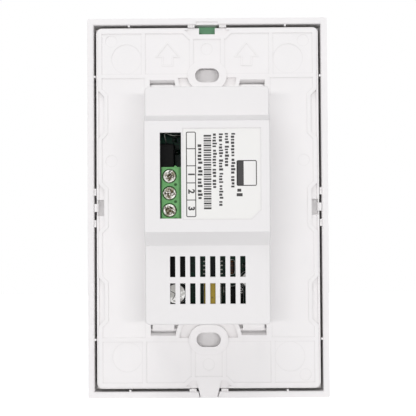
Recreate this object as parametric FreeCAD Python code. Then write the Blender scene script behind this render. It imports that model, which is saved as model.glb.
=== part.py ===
"""Wall-mounted smart touch switch: a glass front panel that snaps onto a wall plate with a rear box.

Frame, in millimetres: origin at the centre of the two wall-screw slots, in the plane of the wall.
+Z is up, +X is to the right seen from the room, +Y goes into the wall and -Y points into the room.
"""
import FreeCAD, Part
import math
import os

Vector = FreeCAD.Vector

# Share of a direction that counts as lying along an axis, how near counts as level, and how far
# a moulded piece reaches into what it grows from
ALONG = 0.99
NEAR = 0.01
SEAM = 0.5

# Front panel: glass, bezel and their outline
PANEL_WIDTH = 76.0
PANEL_HEIGHT = 120.0
PANEL_CORNER_RADIUS = 0.6
RIM_WALL = 2.0
RIM_INNER_CHAMFER = 0.3
BEZEL_DEPTH = 10.0
WEB_THICKNESS = 1.2
TAPE_THICKNESS = 0.3
TAPE_BAND = 5.0
TAPE_INSET = 2.6
TAPE_CORNER_RADIUS = 1.0
GLASS_THICKNESS = 3.0
GLASS_EDGE_CHAMFER = 0.4

# Wall plate: outline, ribs and sunk areas of its rear face
PLATE_SIDE_GAP = 0.8
PLATE_END_GAP = 0.95
PLATE_THICKNESS = 2.0
PLATE_CORNER_RADIUS = 1.8
FLANGE_WIDTH = 0.65
FLANGE_SINK = 0.8
FIELD_SINK = 0.35
RIB_WIDTH = 1.15
POCKET_DEPTH = 1.85
POCKET_SINK = 1.4
SIDE_POCKET_HALF = 5.7
SIDE_POCKET_OFFSET = 29.6
END_POCKET_HALF = 5.4
CORNER_RIB_X = 20.2
CENTRE_RIB_X = 4.9

# Wall screws: standard single-gang pitch and a slot for the screw's shank
SCREW_PITCH = 83.3
SLOT_WIDTH = 4.5
SLOT_LENGTH = 7.6
BOSS_MARGIN = 2.4
BOSS_PROUD = 1.0
BOSS_FLOOR = 1.4
HEAD_SEAT_MARGIN = 1.5
ARC_RIB_RADIUS = 9.2

# Rear box: its two levels, the slopes between them and its wall
BOX_WIDTH = 37.4
BOX_HEIGHT = 71.4
BOX_WALL = 1.6
DEEP_LEVEL = 25.0
SHALLOW_LEVEL = 20.0
DEEP_TOP_Z = 24.85
TOP_SLOPE_RUN = 2.1
DEEP_BOTTOM_Z = -8.05
BOTTOM_SLOPE_RUN = 4.0
BOX_EDGE_RADIUS = 0.5
BOX_CORNER_RADIUS = 1.2

# Openings in the rear box
TERMINAL_WINDOW_WIDTH = 6.3
TERMINAL_WINDOW_HEIGHT = 25.5
WINDOW_LOW_MARGIN = 0.2
WIRE_SLOT_HEIGHT = 4.7
VENT_COLUMNS = 8
VENT_ROWS = 2
VENT_WIDTH = 1.6
VENT_HEIGHT = 6.2
VENT_PITCH_X = 3.0
VENT_PITCH_Z = 8.05
VENT_CENTRE_Z = -22.4

# Label in its shallow recess
LABEL_SIDE_MARGIN = 3.0
LABEL_HEIGHT = 26.6
LABEL_CHAMFER = 2.8
LABEL_THICKNESS = 0.15
LABEL_RECESS = 0.25
LABEL_MARGIN = 0.3
LABEL_GAP = 0.75
LABEL_RISE = 1.0

# Marks moulded in the rear face
MARK_DEPTH = 0.2
MARK_LINE = 0.35
LARGE_MARK_RADIUS = 4.75
SMALL_MARK_RADIUS = 1.9
LARGE_MARK_X = 25.6
LARGE_MARK_Z = 47.1
SMALL_MARK_X = 30.4
SMALL_MARK_Z = 52.8
SIDE_MARK_Z = 14.8
TOP_MARK_X = 0.1
TOP_MARK_Z = 50.2
BOTTOM_MARK_Z = 49.5
ARROW_X = 12.5
ARROW_TIP_Z = 52.6
ARROW_HEIGHT = 7.7
ARROW_WIDTH = 7.9
ARROW_HEAD = 4.9
ARROW_STEM = 3.55

# Panel seat: locating blocks, small ribs, snap hooks and the pry points
BLOCK_OFFSET = 5.0
BLOCK_WIDTH = 2.2
BLOCK_CLEARANCE = 0.15
BLOCK_SET_BACK = 0.8
BLOCK_RIB_WIDTH = 0.5
BLOCK_RIB_SET_BACK = 0.45
SMALL_RIB_X = 24.8
SMALL_RIB_WIDTH = 0.6
SMALL_RIB_HEIGHT = 0.55
HOOK_WIDTH = 2.5
HOOK_ARM = 0.6
HOOK_ARM_GAP = 0.1
HOOK_NOSE = 0.65
HOOK_NOSE_HEIGHT = 0.7
HOOK_NOSE_FACE = 0.25
HOOK_SET_BACK = 0.4
HOOK_CLEARANCE = 0.1
HOOK_BAR = 0.35
NOTCH_HALF = 2.5
NOTCH_DEPTH = 2.15
TOP_NOTCH_DEPTH = 1.95
PRY_RECESS_HALF = 3.4
PRY_RECESS_DEPTH = 0.95
PRY_RECESS_SINK = 0.4
TAB_ROOT_WIDTH = 7.8
TAB_TIP_WIDTH = 5.2
TAB_GAP = 0.35
TAB_TIP_INSET = 0.3

# Inner cover that closes the box from the front
COVER_THICKNESS = 1.0
COVER_SKIRT = 3.0
COVER_SKIRT_WALL = 1.0
COVER_CLEARANCE = 0.15
COVER_HOOK_WIDTH = 6.85
COVER_HOOK_ROOT_GAP = 1.0
COVER_HOOK_ARM = 1.2
COVER_HOOK_NOSE = 1.0
COVER_HOOK_NOSE_FACE = 0.35
COVER_HOOK_SET_BACK = 0.4
COVER_HOOK_SIDE_GAP = 0.55
CATCH_BITE = 0.6
CATCH_THICKNESS = 0.65
CATCH_WINDOW_MARGIN = 0.5
CATCH_WINDOW_LENGTH = 4.7
CATCH_WINDOW_SLOPE = 0.9
CATCH_WINDOW_ARC = 10.5

# Power board, its screws and their posts
BOARD_REAR_Y = 7.2
BOARD_THICKNESS = 1.6
BOARD_CLEARANCE = 0.4
BOARD_CORNER_RADIUS = 1.0
POST_RADIUS = 2.2
POST_HOLE_RADIUS = 0.9
POST_INSET_X = 3.3
POST_INSET_Z = 3.6
REST_PAD_WIDTH = 2.0
SCREW_SHANK_RADIUS = 0.85
SCREW_HEAD_RADIUS = 1.9
SCREW_HEAD_HEIGHT = 1.3
SCREW_HEAD_EDGE = 0.4
SCREW_GRIP = 4.5
SCREW_SLOT_WIDTH = 0.5
SCREW_CROSS_SHARE = 0.6
SCREW_HOLE_CLEARANCE = 0.25

# Parts on the power board: width across, length up, height above the board
PART_CLEARANCE = 0.4
PART_EDGE_RADIUS = 0.4
FUSE_WIDTH = 4.8
FUSE_LENGTH = 7.3
FUSE_HEIGHT = 8.0
FUSE_WALL_GAP = 2.3
RELAY_WIDTH = 10.2
RELAY_LENGTH = 20.4
RELAY_HEIGHT = 14.0
RELAY_WALL_GAP = 1.3
RELAY_LOW_Z = -5.2
FILM_CAPACITOR_WIDTH = 4.8
FILM_CAPACITOR_LENGTH = 10.7
FILM_CAPACITOR_WALL_GAP = 1.4
FILM_CAPACITOR_X = -1.3
LARGE_CAN_RADIUS = 3.15
LARGE_CAN_WALL_X = 7.4
LARGE_CAN_WALL_Z = 7.6
SMALL_CAN_RADIUS = 2.1
SMALL_CAN_HEIGHT = 9.6
SMALL_CAN_WALL_X = 5.0
SMALL_CAN_WALL_Z = 11.7
CAN_EDGE_RADIUS = 0.35
CAN_CRIMP_HEIGHT = 1.6
CAN_CRIMP_RADIUS = 0.45
VARISTOR_RADIUS = 4.6
VARISTOR_THICKNESS = 3.6
VARISTOR_SIDE_GAP = 1.6
VARISTOR_GAP = 1.0
VARISTOR_LEG_RADIUS = 0.35
VARISTOR_LEG_OFFSET = 2.5
TRANSFORMER_WIDTH = 10.4
TRANSFORMER_LENGTH = 11.0
TRANSFORMER_HEIGHT = 8.6
TRANSFORMER_LEG = 2.2
TRANSFORMER_WALL_GAP = 2.5
TRANSFORMER_RELAY_GAP = 2.8
WINDING_DROP = 0.6
RECTIFIER_WIDTH = 5.8
RECTIFIER_LENGTH = 7.2
RECTIFIER_HEIGHT = 6.5
RECTIFIER_WALL_X = 4.7
RECTIFIER_WALL_Z = 12.3
TRANSISTOR_WIDTH = 4.6
TRANSISTOR_LENGTH = 6.2
TRANSISTOR_HEIGHT = 5.5
TRANSISTOR_POST_GAP = 1.0
TRANSISTOR_WALL_Z = 3.0
RESISTOR_WIDTH = 1.4
RESISTOR_LENGTH = 4.0
RESISTOR_HEIGHT = 2.2
RESISTOR_X = -7.2
RESISTOR_WALL_Z = 13.3
DRIVER_X = -1.5
DRIVER_WALL_Z = 15.2
CHIP_BODY_WIDTH = 3.9
CHIP_SPAN = 6.0
CHIP_HEIGHT = 1.4
CHIP_LEAD_PITCH = 1.27
CHIP_LEAD_WIDTH = 0.4
CHIP_LEAD_HEIGHT = 0.2
CHIP_END_MARGIN = 0.52

# Terminal block with three rising-cage clamps
POLES = 3
TERMINAL_SIDE_GAP = 3.5
POLE_PITCH = 5.08
BLOCK_END_WALL = 0.16
BLOCK_REACH_X = 9.0
SOLDER_PIN_INSET = 1.8
SOLDER_HOLE_RADIUS = 0.65
SHANK_BORE_CLEARANCE = 0.15
CLAMP_SLOT_WIDTH = 0.65
CLAMP_CROSS_WIDTH = 0.85
CLAMP_CROSS_DEPTH = 0.9
CLAMP_SLOT_DEPTH = 0.7
CLAMP_CROSS_SHARE = 0.62
CLAMP_HEAD_EDGE = 0.3
BLOCK_FACE_INSET = 0.35
TERMINAL_TOP_CLEARANCE = 0.2
TERMINAL_LOWEST_Z = -1.58
CLAMP_SCREW_INSET = 2.4
CLAMP_HEAD_RADIUS = 1.95
CLAMP_HEAD_HEIGHT = 1.75
CLAMP_HEAD_SUNK = 0.3
CLAMP_SHANK_RADIUS = 1.3
CLAMP_THREAD_CLEARANCE = 0.05
CLAMP_HEAD_CLEARANCE = 0.2
CLAMP_SEAT_CLEARANCE = 0.05
CLAMP_SHOULDER = 1.2
CLAMP_SHANK_LENGTH = 6.1
CLAMP_SCREW_TURNS = (-32.0, -6.5, 79.5)
CAGE_WIDTH = 4.0
CAGE_LENGTH = 3.8
CAGE_SIDE = 0.6
CAGE_FLOOR = 0.8
CAGE_ROOF = 1.6
CAGE_OPENING = 3.6
CAGE_CLEARANCE = 0.1
BLADE_THICKNESS = 0.6
BLADE_WIDTH = 2.2
BLADE_CLEARANCE = 0.1
BLADE_FIT = 0.1
BLADE_END_GAP = 0.4
PORT_WIDTH = 2.8
PIN_TAIL = 1.4
PIN_WIDTH = 0.8
INTERLOCK_RADIUS = 0.42
INTERLOCK_SHIFT = 0.3
INTERLOCK_CLEARANCE = 0.1
POLE_MARK_RADIUS = 0.37
POLE_MARK_DEPTH = 0.5

# Board-to-board connector
CONTACTS = 8
CONTACT_PITCH = 2.54
CONTACT_WIDTH = 0.64
HEADER_BODY = 2.5
SOCKET_GAP = 0.1
CONNECTOR_Z = 20.0
CONTACT_ENGAGEMENT = 3.4
CONTACT_CLEARANCE = 0.1
PIN_TIP = 0.6

# Back cover of the front panel, and the touch board between it and the glass
PANEL_COVER_THICKNESS = 1.0
PANEL_COVER_CLEARANCE = 0.3
PANEL_COVER_SPACER = 0.3
PANEL_COVER_SEAT = 0.4
PANEL_COVER_OPENING = 0.3
SPACER_RADIUS = 3.0
TOUCH_BOARD_THICKNESS = 1.2
TOUCH_BOARD_INSET = 0.3
TONGUE_HALF = 2.9
TONGUE_GAP = 0.1
TOUCH_SCREW_LENGTH = 5.0
POST_FLOOR = 0.7
TOUCH_POST_RADIUS = 2.4
TOUCH_POST_X = 30.0
TOUCH_POST_Z = 33.0
LIGHT_RING_RADIUS = 10.0
LIGHT_RING_WALL = 1.6
LIGHT_RING_CLEARANCE = 0.2
LIGHT_RING_FLANGE = 1.5
LED_SIZE = 1.6
LED_HEIGHT = 0.8
LED_COUNT = 4
SPRING_RADIUS = 4.0
SPRING_WIRE = 0.3
SPRING_END_GAP = 0.05
SPRING_TURNS = 4
TOUCH_CHIP_X = 17.5
TOUCH_CHIP_Z = -14.0
DRIVER_LEAD_COUNT = 4
TOUCH_CHIP_LEAD_COUNT = 8
RADIO_WIDTH = 15.0
RADIO_LENGTH = 20.0
RADIO_Z = -26.0
RADIO_BOARD = 0.8
SHIELD_HEIGHT = 1.8
SHIELD_INSET = 0.8
SHIELD_EDGE_RADIUS = 0.3
AERIAL_LENGTH = 5.0

# Places that follow from the sizes above
panel_x = PANEL_WIDTH / 2
panel_z = PANEL_HEIGHT / 2
seat_x = panel_x - RIM_WALL
seat_z = panel_z - RIM_WALL
plate_x = seat_x - PLATE_SIDE_GAP
plate_z = seat_z - PLATE_END_GAP
web_front_y = -BEZEL_DEPTH
web_rear_y = web_front_y + WEB_THICKNESS
tape_front_y = web_front_y - TAPE_THICKNESS
glass_front_y = tape_front_y - GLASS_THICKNESS
plate_front_y = -PLATE_THICKNESS
slot_z = SCREW_PITCH / 2
slot_radius = SLOT_WIDTH / 2
slot_reach = (SLOT_LENGTH - SLOT_WIDTH) / 2
box_x = BOX_WIDTH / 2
box_z = BOX_HEIGHT / 2
cavity_x = box_x - BOX_WALL
cavity_z = box_z - BOX_WALL
shallow_inner_y = SHALLOW_LEVEL - BOX_WALL
deep_inner_y = DEEP_LEVEL - BOX_WALL
cover_front_y = plate_front_y - COVER_THICKNESS
board_front_y = BOARD_REAR_Y - BOARD_THICKNESS
panel_cover_rear_y = cover_front_y - PANEL_COVER_CLEARANCE
panel_cover_front_y = panel_cover_rear_y - PANEL_COVER_THICKNESS
touch_rear_y = panel_cover_front_y - PANEL_COVER_SPACER
touch_front_y = touch_rear_y - TOUCH_BOARD_THICKNESS
pole_z = [TERMINAL_LOWEST_Z + i * POLE_PITCH for i in range(POLES)]
terminal_low_z = pole_z[0] - POLE_PITCH / 2 - BLOCK_END_WALL
terminal_high_z = pole_z[-1] + POLE_PITCH / 2 + BLOCK_END_WALL
terminal_top_y = deep_inner_y - TERMINAL_TOP_CLEARANCE
window_low_z = terminal_low_z + WINDOW_LOW_MARGIN
window_high_z = window_low_z + TERMINAL_WINDOW_HEIGHT
terminal_face_x = cavity_x - TERMINAL_SIDE_GAP
window_outer_x = terminal_face_x + BLOCK_FACE_INSET
window_inner_x = window_outer_x - TERMINAL_WINDOW_WIDTH
clamp_x = terminal_face_x - CLAMP_SCREW_INSET
head_top_y = terminal_top_y - CLAMP_HEAD_SUNK
head_seat_y = head_top_y - CLAMP_HEAD_HEIGHT
shank_tip_y = head_seat_y - CLAMP_SHANK_LENGTH
blade_rear_y = shank_tip_y - BLADE_CLEARANCE
blade_front_y = blade_rear_y - BLADE_THICKNESS
cage_inner_rear_y = blade_rear_y + BLADE_THICKNESS
cage_inner_front_y = cage_inner_rear_y - CAGE_OPENING
cage_front_y = cage_inner_front_y - CAGE_FLOOR
cage_rear_y = cage_inner_rear_y + CAGE_ROOF
cage_inner_x = clamp_x - CAGE_LENGTH / 2
port_centre_y = (cage_inner_front_y + blade_front_y) / 2
label_outer_x = window_inner_x - LABEL_GAP
label_inner_x = LABEL_SIDE_MARGIN - box_x
label_high_z = window_high_z + LABEL_RISE
label_low_z = label_high_z - LABEL_HEIGHT
hook_inner_x = seat_x - HOOK_ARM_GAP - HOOK_ARM
post_x = cavity_x - POST_INSET_X
post_z = cavity_z - POST_INSET_Z
shallow_room = shallow_inner_y - BOARD_REAR_Y
catch_end_z = box_z + CATCH_WINDOW_LENGTH
catch_outer_x = box_x - CATCH_WINDOW_MARGIN
cover_hook_outer_x = catch_outer_x - COVER_HOOK_SIDE_GAP
cover_hook_root_z = box_z + COVER_HOOK_ROOT_GAP
cover_hook_arm_z = cover_hook_root_z + COVER_HOOK_ARM
cover_hook_tip_z = cover_hook_arm_z + COVER_HOOK_NOSE
ledge_y = plate_front_y + CATCH_THICKNESS


def block(x0, x1, y0, y1, z0, z1):
    """Box between two corners."""
    low = Vector(min(x0, x1), min(y0, y1), min(z0, z1))
    return Part.makeBox(abs(x1 - x0), abs(y1 - y0), abs(z1 - z0), low)


def pin(radius, y0, y1, x=0.0, z=0.0):
    """Cylinder along Y."""
    return Part.makeCylinder(radius, abs(y1 - y0), Vector(x, min(y0, y1), z), Vector(0, 1, 0))


def prism(points, y0, y1):
    """Outline in X and Z, swept along Y."""
    low = min(y0, y1)
    corners = [Vector(x, low, z) for x, z in points]
    face = Part.Face(Part.makePolygon(corners + corners[:1]))
    return face.extrude(Vector(0, abs(y1 - y0), 0))


def slab(half_x, half_z, y0, y1, radius=0.0):
    """Rectangle about the origin, swept along Y, with rounded corners."""
    body = block(-half_x, half_x, y0, y1, -half_z, half_z)
    if radius > 0:
        corners = [e for e in body.Edges if abs(e.tangentAt(e.FirstParameter).y) > ALONG]
        body = body.makeFillet(radius, corners)
    return body


def stadium(radius, reach, y0, y1, z=0.0):
    """Slot shape along X: two half rounds whose centres lie at -reach and reach."""
    ends = [pin(radius, y0, y1, x, z) for x in (-reach, reach)]
    return block(-reach, reach, y0, y1, z - radius, z + radius).multiFuse(ends).removeSplitter()


def offset_outline(points, distance):
    """The outline moved inwards by the distance; the points run counter-clockwise."""
    moved = []
    count = len(points)
    for i in range(count):
        lines = []
        for a, b in ((points[i - 1], points[i]), (points[i], points[(i + 1) % count])):
            length = math.hypot(b[0] - a[0], b[1] - a[1])
            along = ((b[0] - a[0]) / length, (b[1] - a[1]) / length)
            start = (a[0] - along[1] * distance, a[1] + along[0] * distance)
            lines.append((start, along))
        (p, u), (q, v) = lines
        turn = u[0] * v[1] - u[1] * v[0]
        step = ((q[0] - p[0]) * v[1] - (q[1] - p[1]) * v[0]) / turn
        moved.append((p[0] + u[0] * step, p[1] + u[1] * step))
    return moved


def mirrored(shape):
    """The shape's mirror image across the middle, left to right."""
    return shape.mirror(Vector(0, 0, 0), Vector(1, 0, 0))


def flipped(shape):
    """The shape's mirror image, top to bottom."""
    return shape.mirror(Vector(0, 0, 0), Vector(0, 0, 1))


def joined(shapes):
    """One solid from shapes that meet."""
    return shapes[0].multiFuse(shapes[1:]).removeSplitter()


def rib_outline():
    """Outer edge of the perimeter rib: a rectangle that steps in at each pocket, counter-clockwise."""
    x, z = plate_x - FLANGE_WIDTH, plate_z - FLANGE_WIDTH
    run = POCKET_DEPTH
    right = []
    for centre in (-SIDE_POCKET_OFFSET, 0.0, SIDE_POCKET_OFFSET):
        right.append((x, centre - SIDE_POCKET_HALF - run))
        right.append((x - POCKET_DEPTH, centre - SIDE_POCKET_HALF))
        right.append((x - POCKET_DEPTH, centre + SIDE_POCKET_HALF))
        right.append((x, centre + SIDE_POCKET_HALF + run))
    top = [
        (END_POCKET_HALF + run, z),
        (END_POCKET_HALF, z - POCKET_DEPTH),
        (-END_POCKET_HALF, z - POCKET_DEPTH),
        (-END_POCKET_HALF - run, z),
    ]
    left = [(-px, -pz) for px, pz in right]
    bottom = [(-px, -pz) for px, pz in top]
    return [(x, -z)] + right + [(x, z)] + top + [(-x, z)] + left + [(-x, -z)] + bottom


def sunk_pockets():
    """Deeper floors where the perimeter rib steps in; those at the ends reach the plate's edge."""
    x, z = plate_x - FLANGE_WIDTH, plate_z - FLANGE_WIDTH
    run, low = POCKET_DEPTH, -POCKET_SINK
    pockets = []
    for side in (-1, 1):
        for centre in (-SIDE_POCKET_OFFSET, 0.0, SIDE_POCKET_OFFSET):
            near, far = SIDE_POCKET_HALF, SIDE_POCKET_HALF + run
            outline = [(side * x, centre - far), (side * x, centre + far),
                       (side * (x - run), centre + near), (side * (x - run), centre - near)]
            pockets.append(prism(outline, low, 1))
        near, far, edge_half = END_POCKET_HALF, END_POCKET_HALF + run, BLOCK_OFFSET + BLOCK_WIDTH / 2
        outline = [(-far, side * z), (far, side * z), (near, side * (z - run)), (-near, side * (z - run))]
        pockets.append(prism(outline, low, 1))
        pockets.append(block(-edge_half, edge_half, low, 1, side * (z - SEAM), side * (plate_z + 1)))
    return pockets


def arc_band(outer, y0, y1, side):
    """Half disc about a wall-screw slot, on the box's side of the slot's rib line."""
    disc = pin(outer, y0, y1, 0, side * slot_z)
    inner_edge = side * (slot_z - RIB_WIDTH / 2)
    return disc.common(block(-outer, outer, y0, y1, side * box_z, inner_edge))


def grid_ribs():
    """Ribs of the upper and lower fields, up to the plane of the wall."""
    ribs = []
    low, high = -FIELD_SINK, 0.0
    for side in (-1, 1):
        line = side * slot_z
        ribs.append(block(-plate_x, plate_x, low, high, line - RIB_WIDTH / 2, line + RIB_WIDTH / 2))
        for x in (-CORNER_RIB_X, -CENTRE_RIB_X, CENTRE_RIB_X, CORNER_RIB_X):
            ribs.append(block(x - RIB_WIDTH / 2, x + RIB_WIDTH / 2, low, high, line, side * plate_z))
        frame = block(-box_x - RIB_WIDTH, box_x + RIB_WIDTH, low, high, side * box_z, line)
        ribs.append(frame.cut(arc_band(ARC_RIB_RADIUS, low, high, side)))
    return ribs


def sunk_marks():
    """Round ejector marks, moulded a little below the fields."""
    low, high = -FIELD_SINK - MARK_DEPTH, 0.0
    marks = [pin(LARGE_MARK_RADIUS, low, high, x, z)
             for x in (-LARGE_MARK_X, LARGE_MARK_X) for z in (-LARGE_MARK_Z, LARGE_MARK_Z)]
    small = [(-SMALL_MARK_X, SMALL_MARK_Z), (SMALL_MARK_X, SMALL_MARK_Z), (-SMALL_MARK_X, -SMALL_MARK_Z),
             (-SMALL_MARK_X, SIDE_MARK_Z), (SMALL_MARK_X, SIDE_MARK_Z),
             (TOP_MARK_X, TOP_MARK_Z), (0, -BOTTOM_MARK_Z)]
    marks += [pin(SMALL_MARK_RADIUS, low, high, x, z) for x, z in small]
    return marks


def arrow_lines():
    """Two raised outlines of plain arrows that show which way is up."""
    half, stem = ARROW_WIDTH / 2, ARROW_STEM / 2
    base, shoulder = ARROW_TIP_Z - ARROW_HEIGHT, ARROW_TIP_Z - ARROW_HEAD
    outline = [(-stem, base), (stem, base), (stem, shoulder), (half, shoulder),
               (0, ARROW_TIP_Z), (-half, shoulder), (-stem, shoulder)]
    inner = offset_outline(outline, MARK_LINE)
    low, high = -FIELD_SINK, -FIELD_SINK + MARK_DEPTH
    arrow = prism(outline, low, high).cut(prism(inner, low - 1, high + 1))
    return [arrow.translated(Vector(x, 0, 0)) for x in (-ARROW_X, ARROW_X)]


def box_profile():
    """Side view of the rear box, as points in Z and Y, counter-clockwise seen from +X."""
    top_slope_z = DEEP_TOP_Z + TOP_SLOPE_RUN
    bottom_slope_z = DEEP_BOTTOM_Z - BOTTOM_SLOPE_RUN
    return [
        (-box_z, plate_front_y), (box_z, plate_front_y), (box_z, SHALLOW_LEVEL),
        (top_slope_z, SHALLOW_LEVEL), (DEEP_TOP_Z, DEEP_LEVEL), (DEEP_BOTTOM_Z, DEEP_LEVEL),
        (bottom_slope_z, SHALLOW_LEVEL), (-box_z, SHALLOW_LEVEL),
    ]


def swept_profile(points, half_x):
    """Side view in Z and Y, swept across the box."""
    corners = [Vector(-half_x, y, z) for z, y in points]
    face = Part.Face(Part.makePolygon(corners + corners[:1]))
    return face.extrude(Vector(2 * half_x, 0, 0))


def box_shell():
    """Outer form of the rear box, with its long edges and corners rounded."""
    solid = swept_profile(box_profile(), box_x)
    uprights = [e for e in solid.Edges
                if abs(e.tangentAt(e.FirstParameter).y) > ALONG and e.Length > SHALLOW_LEVEL / 2]
    solid = solid.makeFillet(BOX_CORNER_RADIUS, uprights)
    rear = [e for e in solid.Edges if e.CenterOfMass.y > SHALLOW_LEVEL - NEAR and not crease(e)]
    return solid.makeFillet(BOX_EDGE_RADIUS, rear)


def crease(edge):
    """True for the two folds across the rear face where a slope meets a level."""
    along_x = abs(edge.tangentAt(edge.FirstParameter).x) > ALONG
    return along_x and abs(edge.CenterOfMass.z) < box_z - BOX_WALL


def box_cavity():
    """Space inside the rear box, open at the front of the plate."""
    inner = offset_outline(box_profile(), BOX_WALL)
    front = plate_front_y - 1
    inner[0] = (inner[0][0], front)
    inner[1] = (inner[1][0], front)
    return swept_profile(inner, cavity_x)


def vents():
    """Two rows of upright slots through the shallow level."""
    slots = []
    for row in range(VENT_ROWS):
        z = VENT_CENTRE_Z + (row - (VENT_ROWS - 1) / 2) * VENT_PITCH_Z
        for column in range(VENT_COLUMNS):
            x = (column - (VENT_COLUMNS - 1) / 2) * VENT_PITCH_X
            slots.append(block(x - VENT_WIDTH / 2, x + VENT_WIDTH / 2, shallow_inner_y - 1, SHALLOW_LEVEL + 1,
                               z - VENT_HEIGHT / 2, z + VENT_HEIGHT / 2))
    return slots


def label_outline(margin):
    """The label's outline, grown by a margin, with one corner cut off, counter-clockwise in X and Z."""
    left, right = label_inner_x - margin, label_outer_x + margin
    low, high = label_low_z - margin, label_high_z + margin
    cut = LABEL_CHAMFER
    return [(left + cut, low), (right, low), (right, high), (left, high), (left, low + cut)]


def board_posts():
    """Two posts inside the box that carry the power board, each with a hole for its screw."""
    posts = []
    for x, z in screw_places():
        post = pin(POST_RADIUS, BOARD_REAR_Y, shallow_inner_y + SEAM, x, z)
        posts.append(post.cut(pin(POST_HOLE_RADIUS, BOARD_REAR_Y, BOARD_REAR_Y + SCREW_GRIP + 1, x, z)))
    return posts


def rest_pads():
    """Two plain pads inside the box, at the corners that have no screw post."""
    pads = []
    for x, z in screw_places():
        near, far = cavity_z - 2 * POST_RADIUS, cavity_z + SEAM
        side = 1 if x > 0 else -1
        low, high = sorted((side * near, side * far))
        wall = -side * (cavity_x + SEAM)
        edge = -side * (cavity_x - REST_PAD_WIDTH)
        pads.append(block(wall, edge, BOARD_REAR_Y, shallow_inner_y, low, high))
    return pads


def screw_places():
    """X and Z of the two screws that hold the power board."""
    return [(-post_x, -post_z), (post_x, post_z)]


def catch_windows():
    """Openings in the plate where the inner cover's hooks catch; their far walls slope."""
    deep_z = catch_end_z - CATCH_WINDOW_SLOPE
    rise = CATCH_WINDOW_SLOPE / PLATE_THICKNESS
    profile = [(box_z, plate_front_y - 1), (deep_z, plate_front_y - 1), (deep_z, plate_front_y),
               (catch_end_z + rise, 1), (box_z, 1)]
    openings = []
    for side in (-1, 1):
        full = swept_profile([(side * z, y) for z, y in profile], catch_outer_x)
        openings.append(full.cut(pin(CATCH_WINDOW_ARC, plate_front_y - 2, 2, 0, side * slot_z)))
    return openings


def catch_bars():
    """Bars across the front of each catch window, on which the hooks' noses sit."""
    bars = []
    edge = cover_hook_tip_z - CATCH_BITE
    for side in (-1, 1):
        strip = block(-box_x, box_x, plate_front_y, ledge_y, side * edge, side * cover_hook_tip_z)
        bars.append(strip.cut(pin(ARC_RIB_RADIUS, plate_front_y - 1, 1, 0, side * slot_z)))
    return bars


def side_notches():
    """Openings at the middle of both long sides; the panel's snap hooks reach over the bar of each."""
    notches = []
    for side in (-1, 1):
        inner, bar = side * (plate_x - NOTCH_DEPTH), side * (plate_x - HOOK_BAR)
        notches.append(block(inner, side * (plate_x + 1), bar_rear_y(), 1, -NOTCH_HALF, NOTCH_HALF))
        notches.append(block(inner, bar, plate_front_y - 1, 1, -NOTCH_HALF, NOTCH_HALF))
    return notches


def bar_rear_y():
    """Rear face of the bar that the panel's snap hooks catch on."""
    return -HOOK_SET_BACK - HOOK_NOSE_HEIGHT - HOOK_CLEARANCE


def tab_outline(grow):
    """The pry tab at the bottom of the plate: wider at its root, grown by a gap on both sides."""
    root_z = -(plate_z - FLANGE_WIDTH - POCKET_DEPTH)
    tip_z = -(panel_z - TAB_TIP_INSET)
    root, tip = TAB_ROOT_WIDTH / 2 + grow, TAB_TIP_WIDTH / 2 + grow
    slope = (root - tip) / (root_z - tip_z)
    end_z = tip_z if grow == 0 else -panel_z - 1
    tip -= slope * (tip_z - end_z)
    return [(-tip, end_z), (tip, end_z), (root, root_z), (-root, root_z)]


def rear_housing():
    """Wall plate and rear box, one moulding."""
    outline = rib_outline()
    inner = offset_outline(outline, RIB_WIDTH)
    sheet = slab(plate_x, plate_z, plate_front_y, -FLANGE_SINK, PLATE_CORNER_RADIUS)
    field = prism(outline, -FLANGE_SINK, -FIELD_SINK)
    rim = prism(outline, -FIELD_SINK, 0).cut(prism(inner, -FIELD_SINK - 1, 1))
    ribs = joined(grid_ribs()).common(prism(outline, -FIELD_SINK, 0))
    tab = prism(tab_outline(0), plate_front_y, 0)
    body = joined([sheet, field, rim, ribs])
    body = joined([body.cut(Part.makeCompound(sunk_pockets())), tab])
    body = body.cut(Part.makeCompound(sunk_marks()))
    for side in (-1, 1):
        body = body.cut(arc_band(ARC_RIB_RADIUS, -POCKET_SINK, 1, side))
    bosses = [stadium(slot_radius + BOSS_MARGIN, slot_reach, plate_front_y, BOSS_PROUD, side * slot_z)
              for side in (-1, 1)]
    body = joined([body] + bosses + arrow_lines() + [box_shell()])
    cuts = [box_cavity()] + vents() + catch_windows() + side_notches()
    for side in (-1, 1):
        cuts.append(stadium(slot_radius, slot_reach, plate_front_y - 1, BOSS_PROUD + 1, side * slot_z))
        cuts.append(stadium(slot_radius + HEAD_SEAT_MARGIN, slot_reach, plate_front_y - 1,
                            BOSS_PROUD - BOSS_FLOOR, side * slot_z))
    cuts.append(block(window_inner_x, window_outer_x, deep_inner_y - 1, DEEP_LEVEL + 1,
                      window_low_z, window_high_z))
    cuts.append(block(cavity_x - 1, box_x + 1, port_centre_y - WIRE_SLOT_HEIGHT / 2,
                      port_centre_y + WIRE_SLOT_HEIGHT / 2, window_low_z, terminal_high_z))
    cuts.append(prism(label_outline(LABEL_MARGIN), DEEP_LEVEL - LABEL_RECESS, DEEP_LEVEL + 1))
    cuts.append(block(-NOTCH_HALF, NOTCH_HALF, plate_front_y - 1, 1, plate_z - TOP_NOTCH_DEPTH, plate_z + 1))
    body = body.cut(Part.makeCompound(cuts))
    return joined([body] + catch_bars() + board_posts() + rest_pads())


def rating_label():
    """Sticker in its recess; its print is left out."""
    floor = DEEP_LEVEL - LABEL_RECESS
    return prism(label_outline(0), floor, floor + LABEL_THICKNESS)


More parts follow.
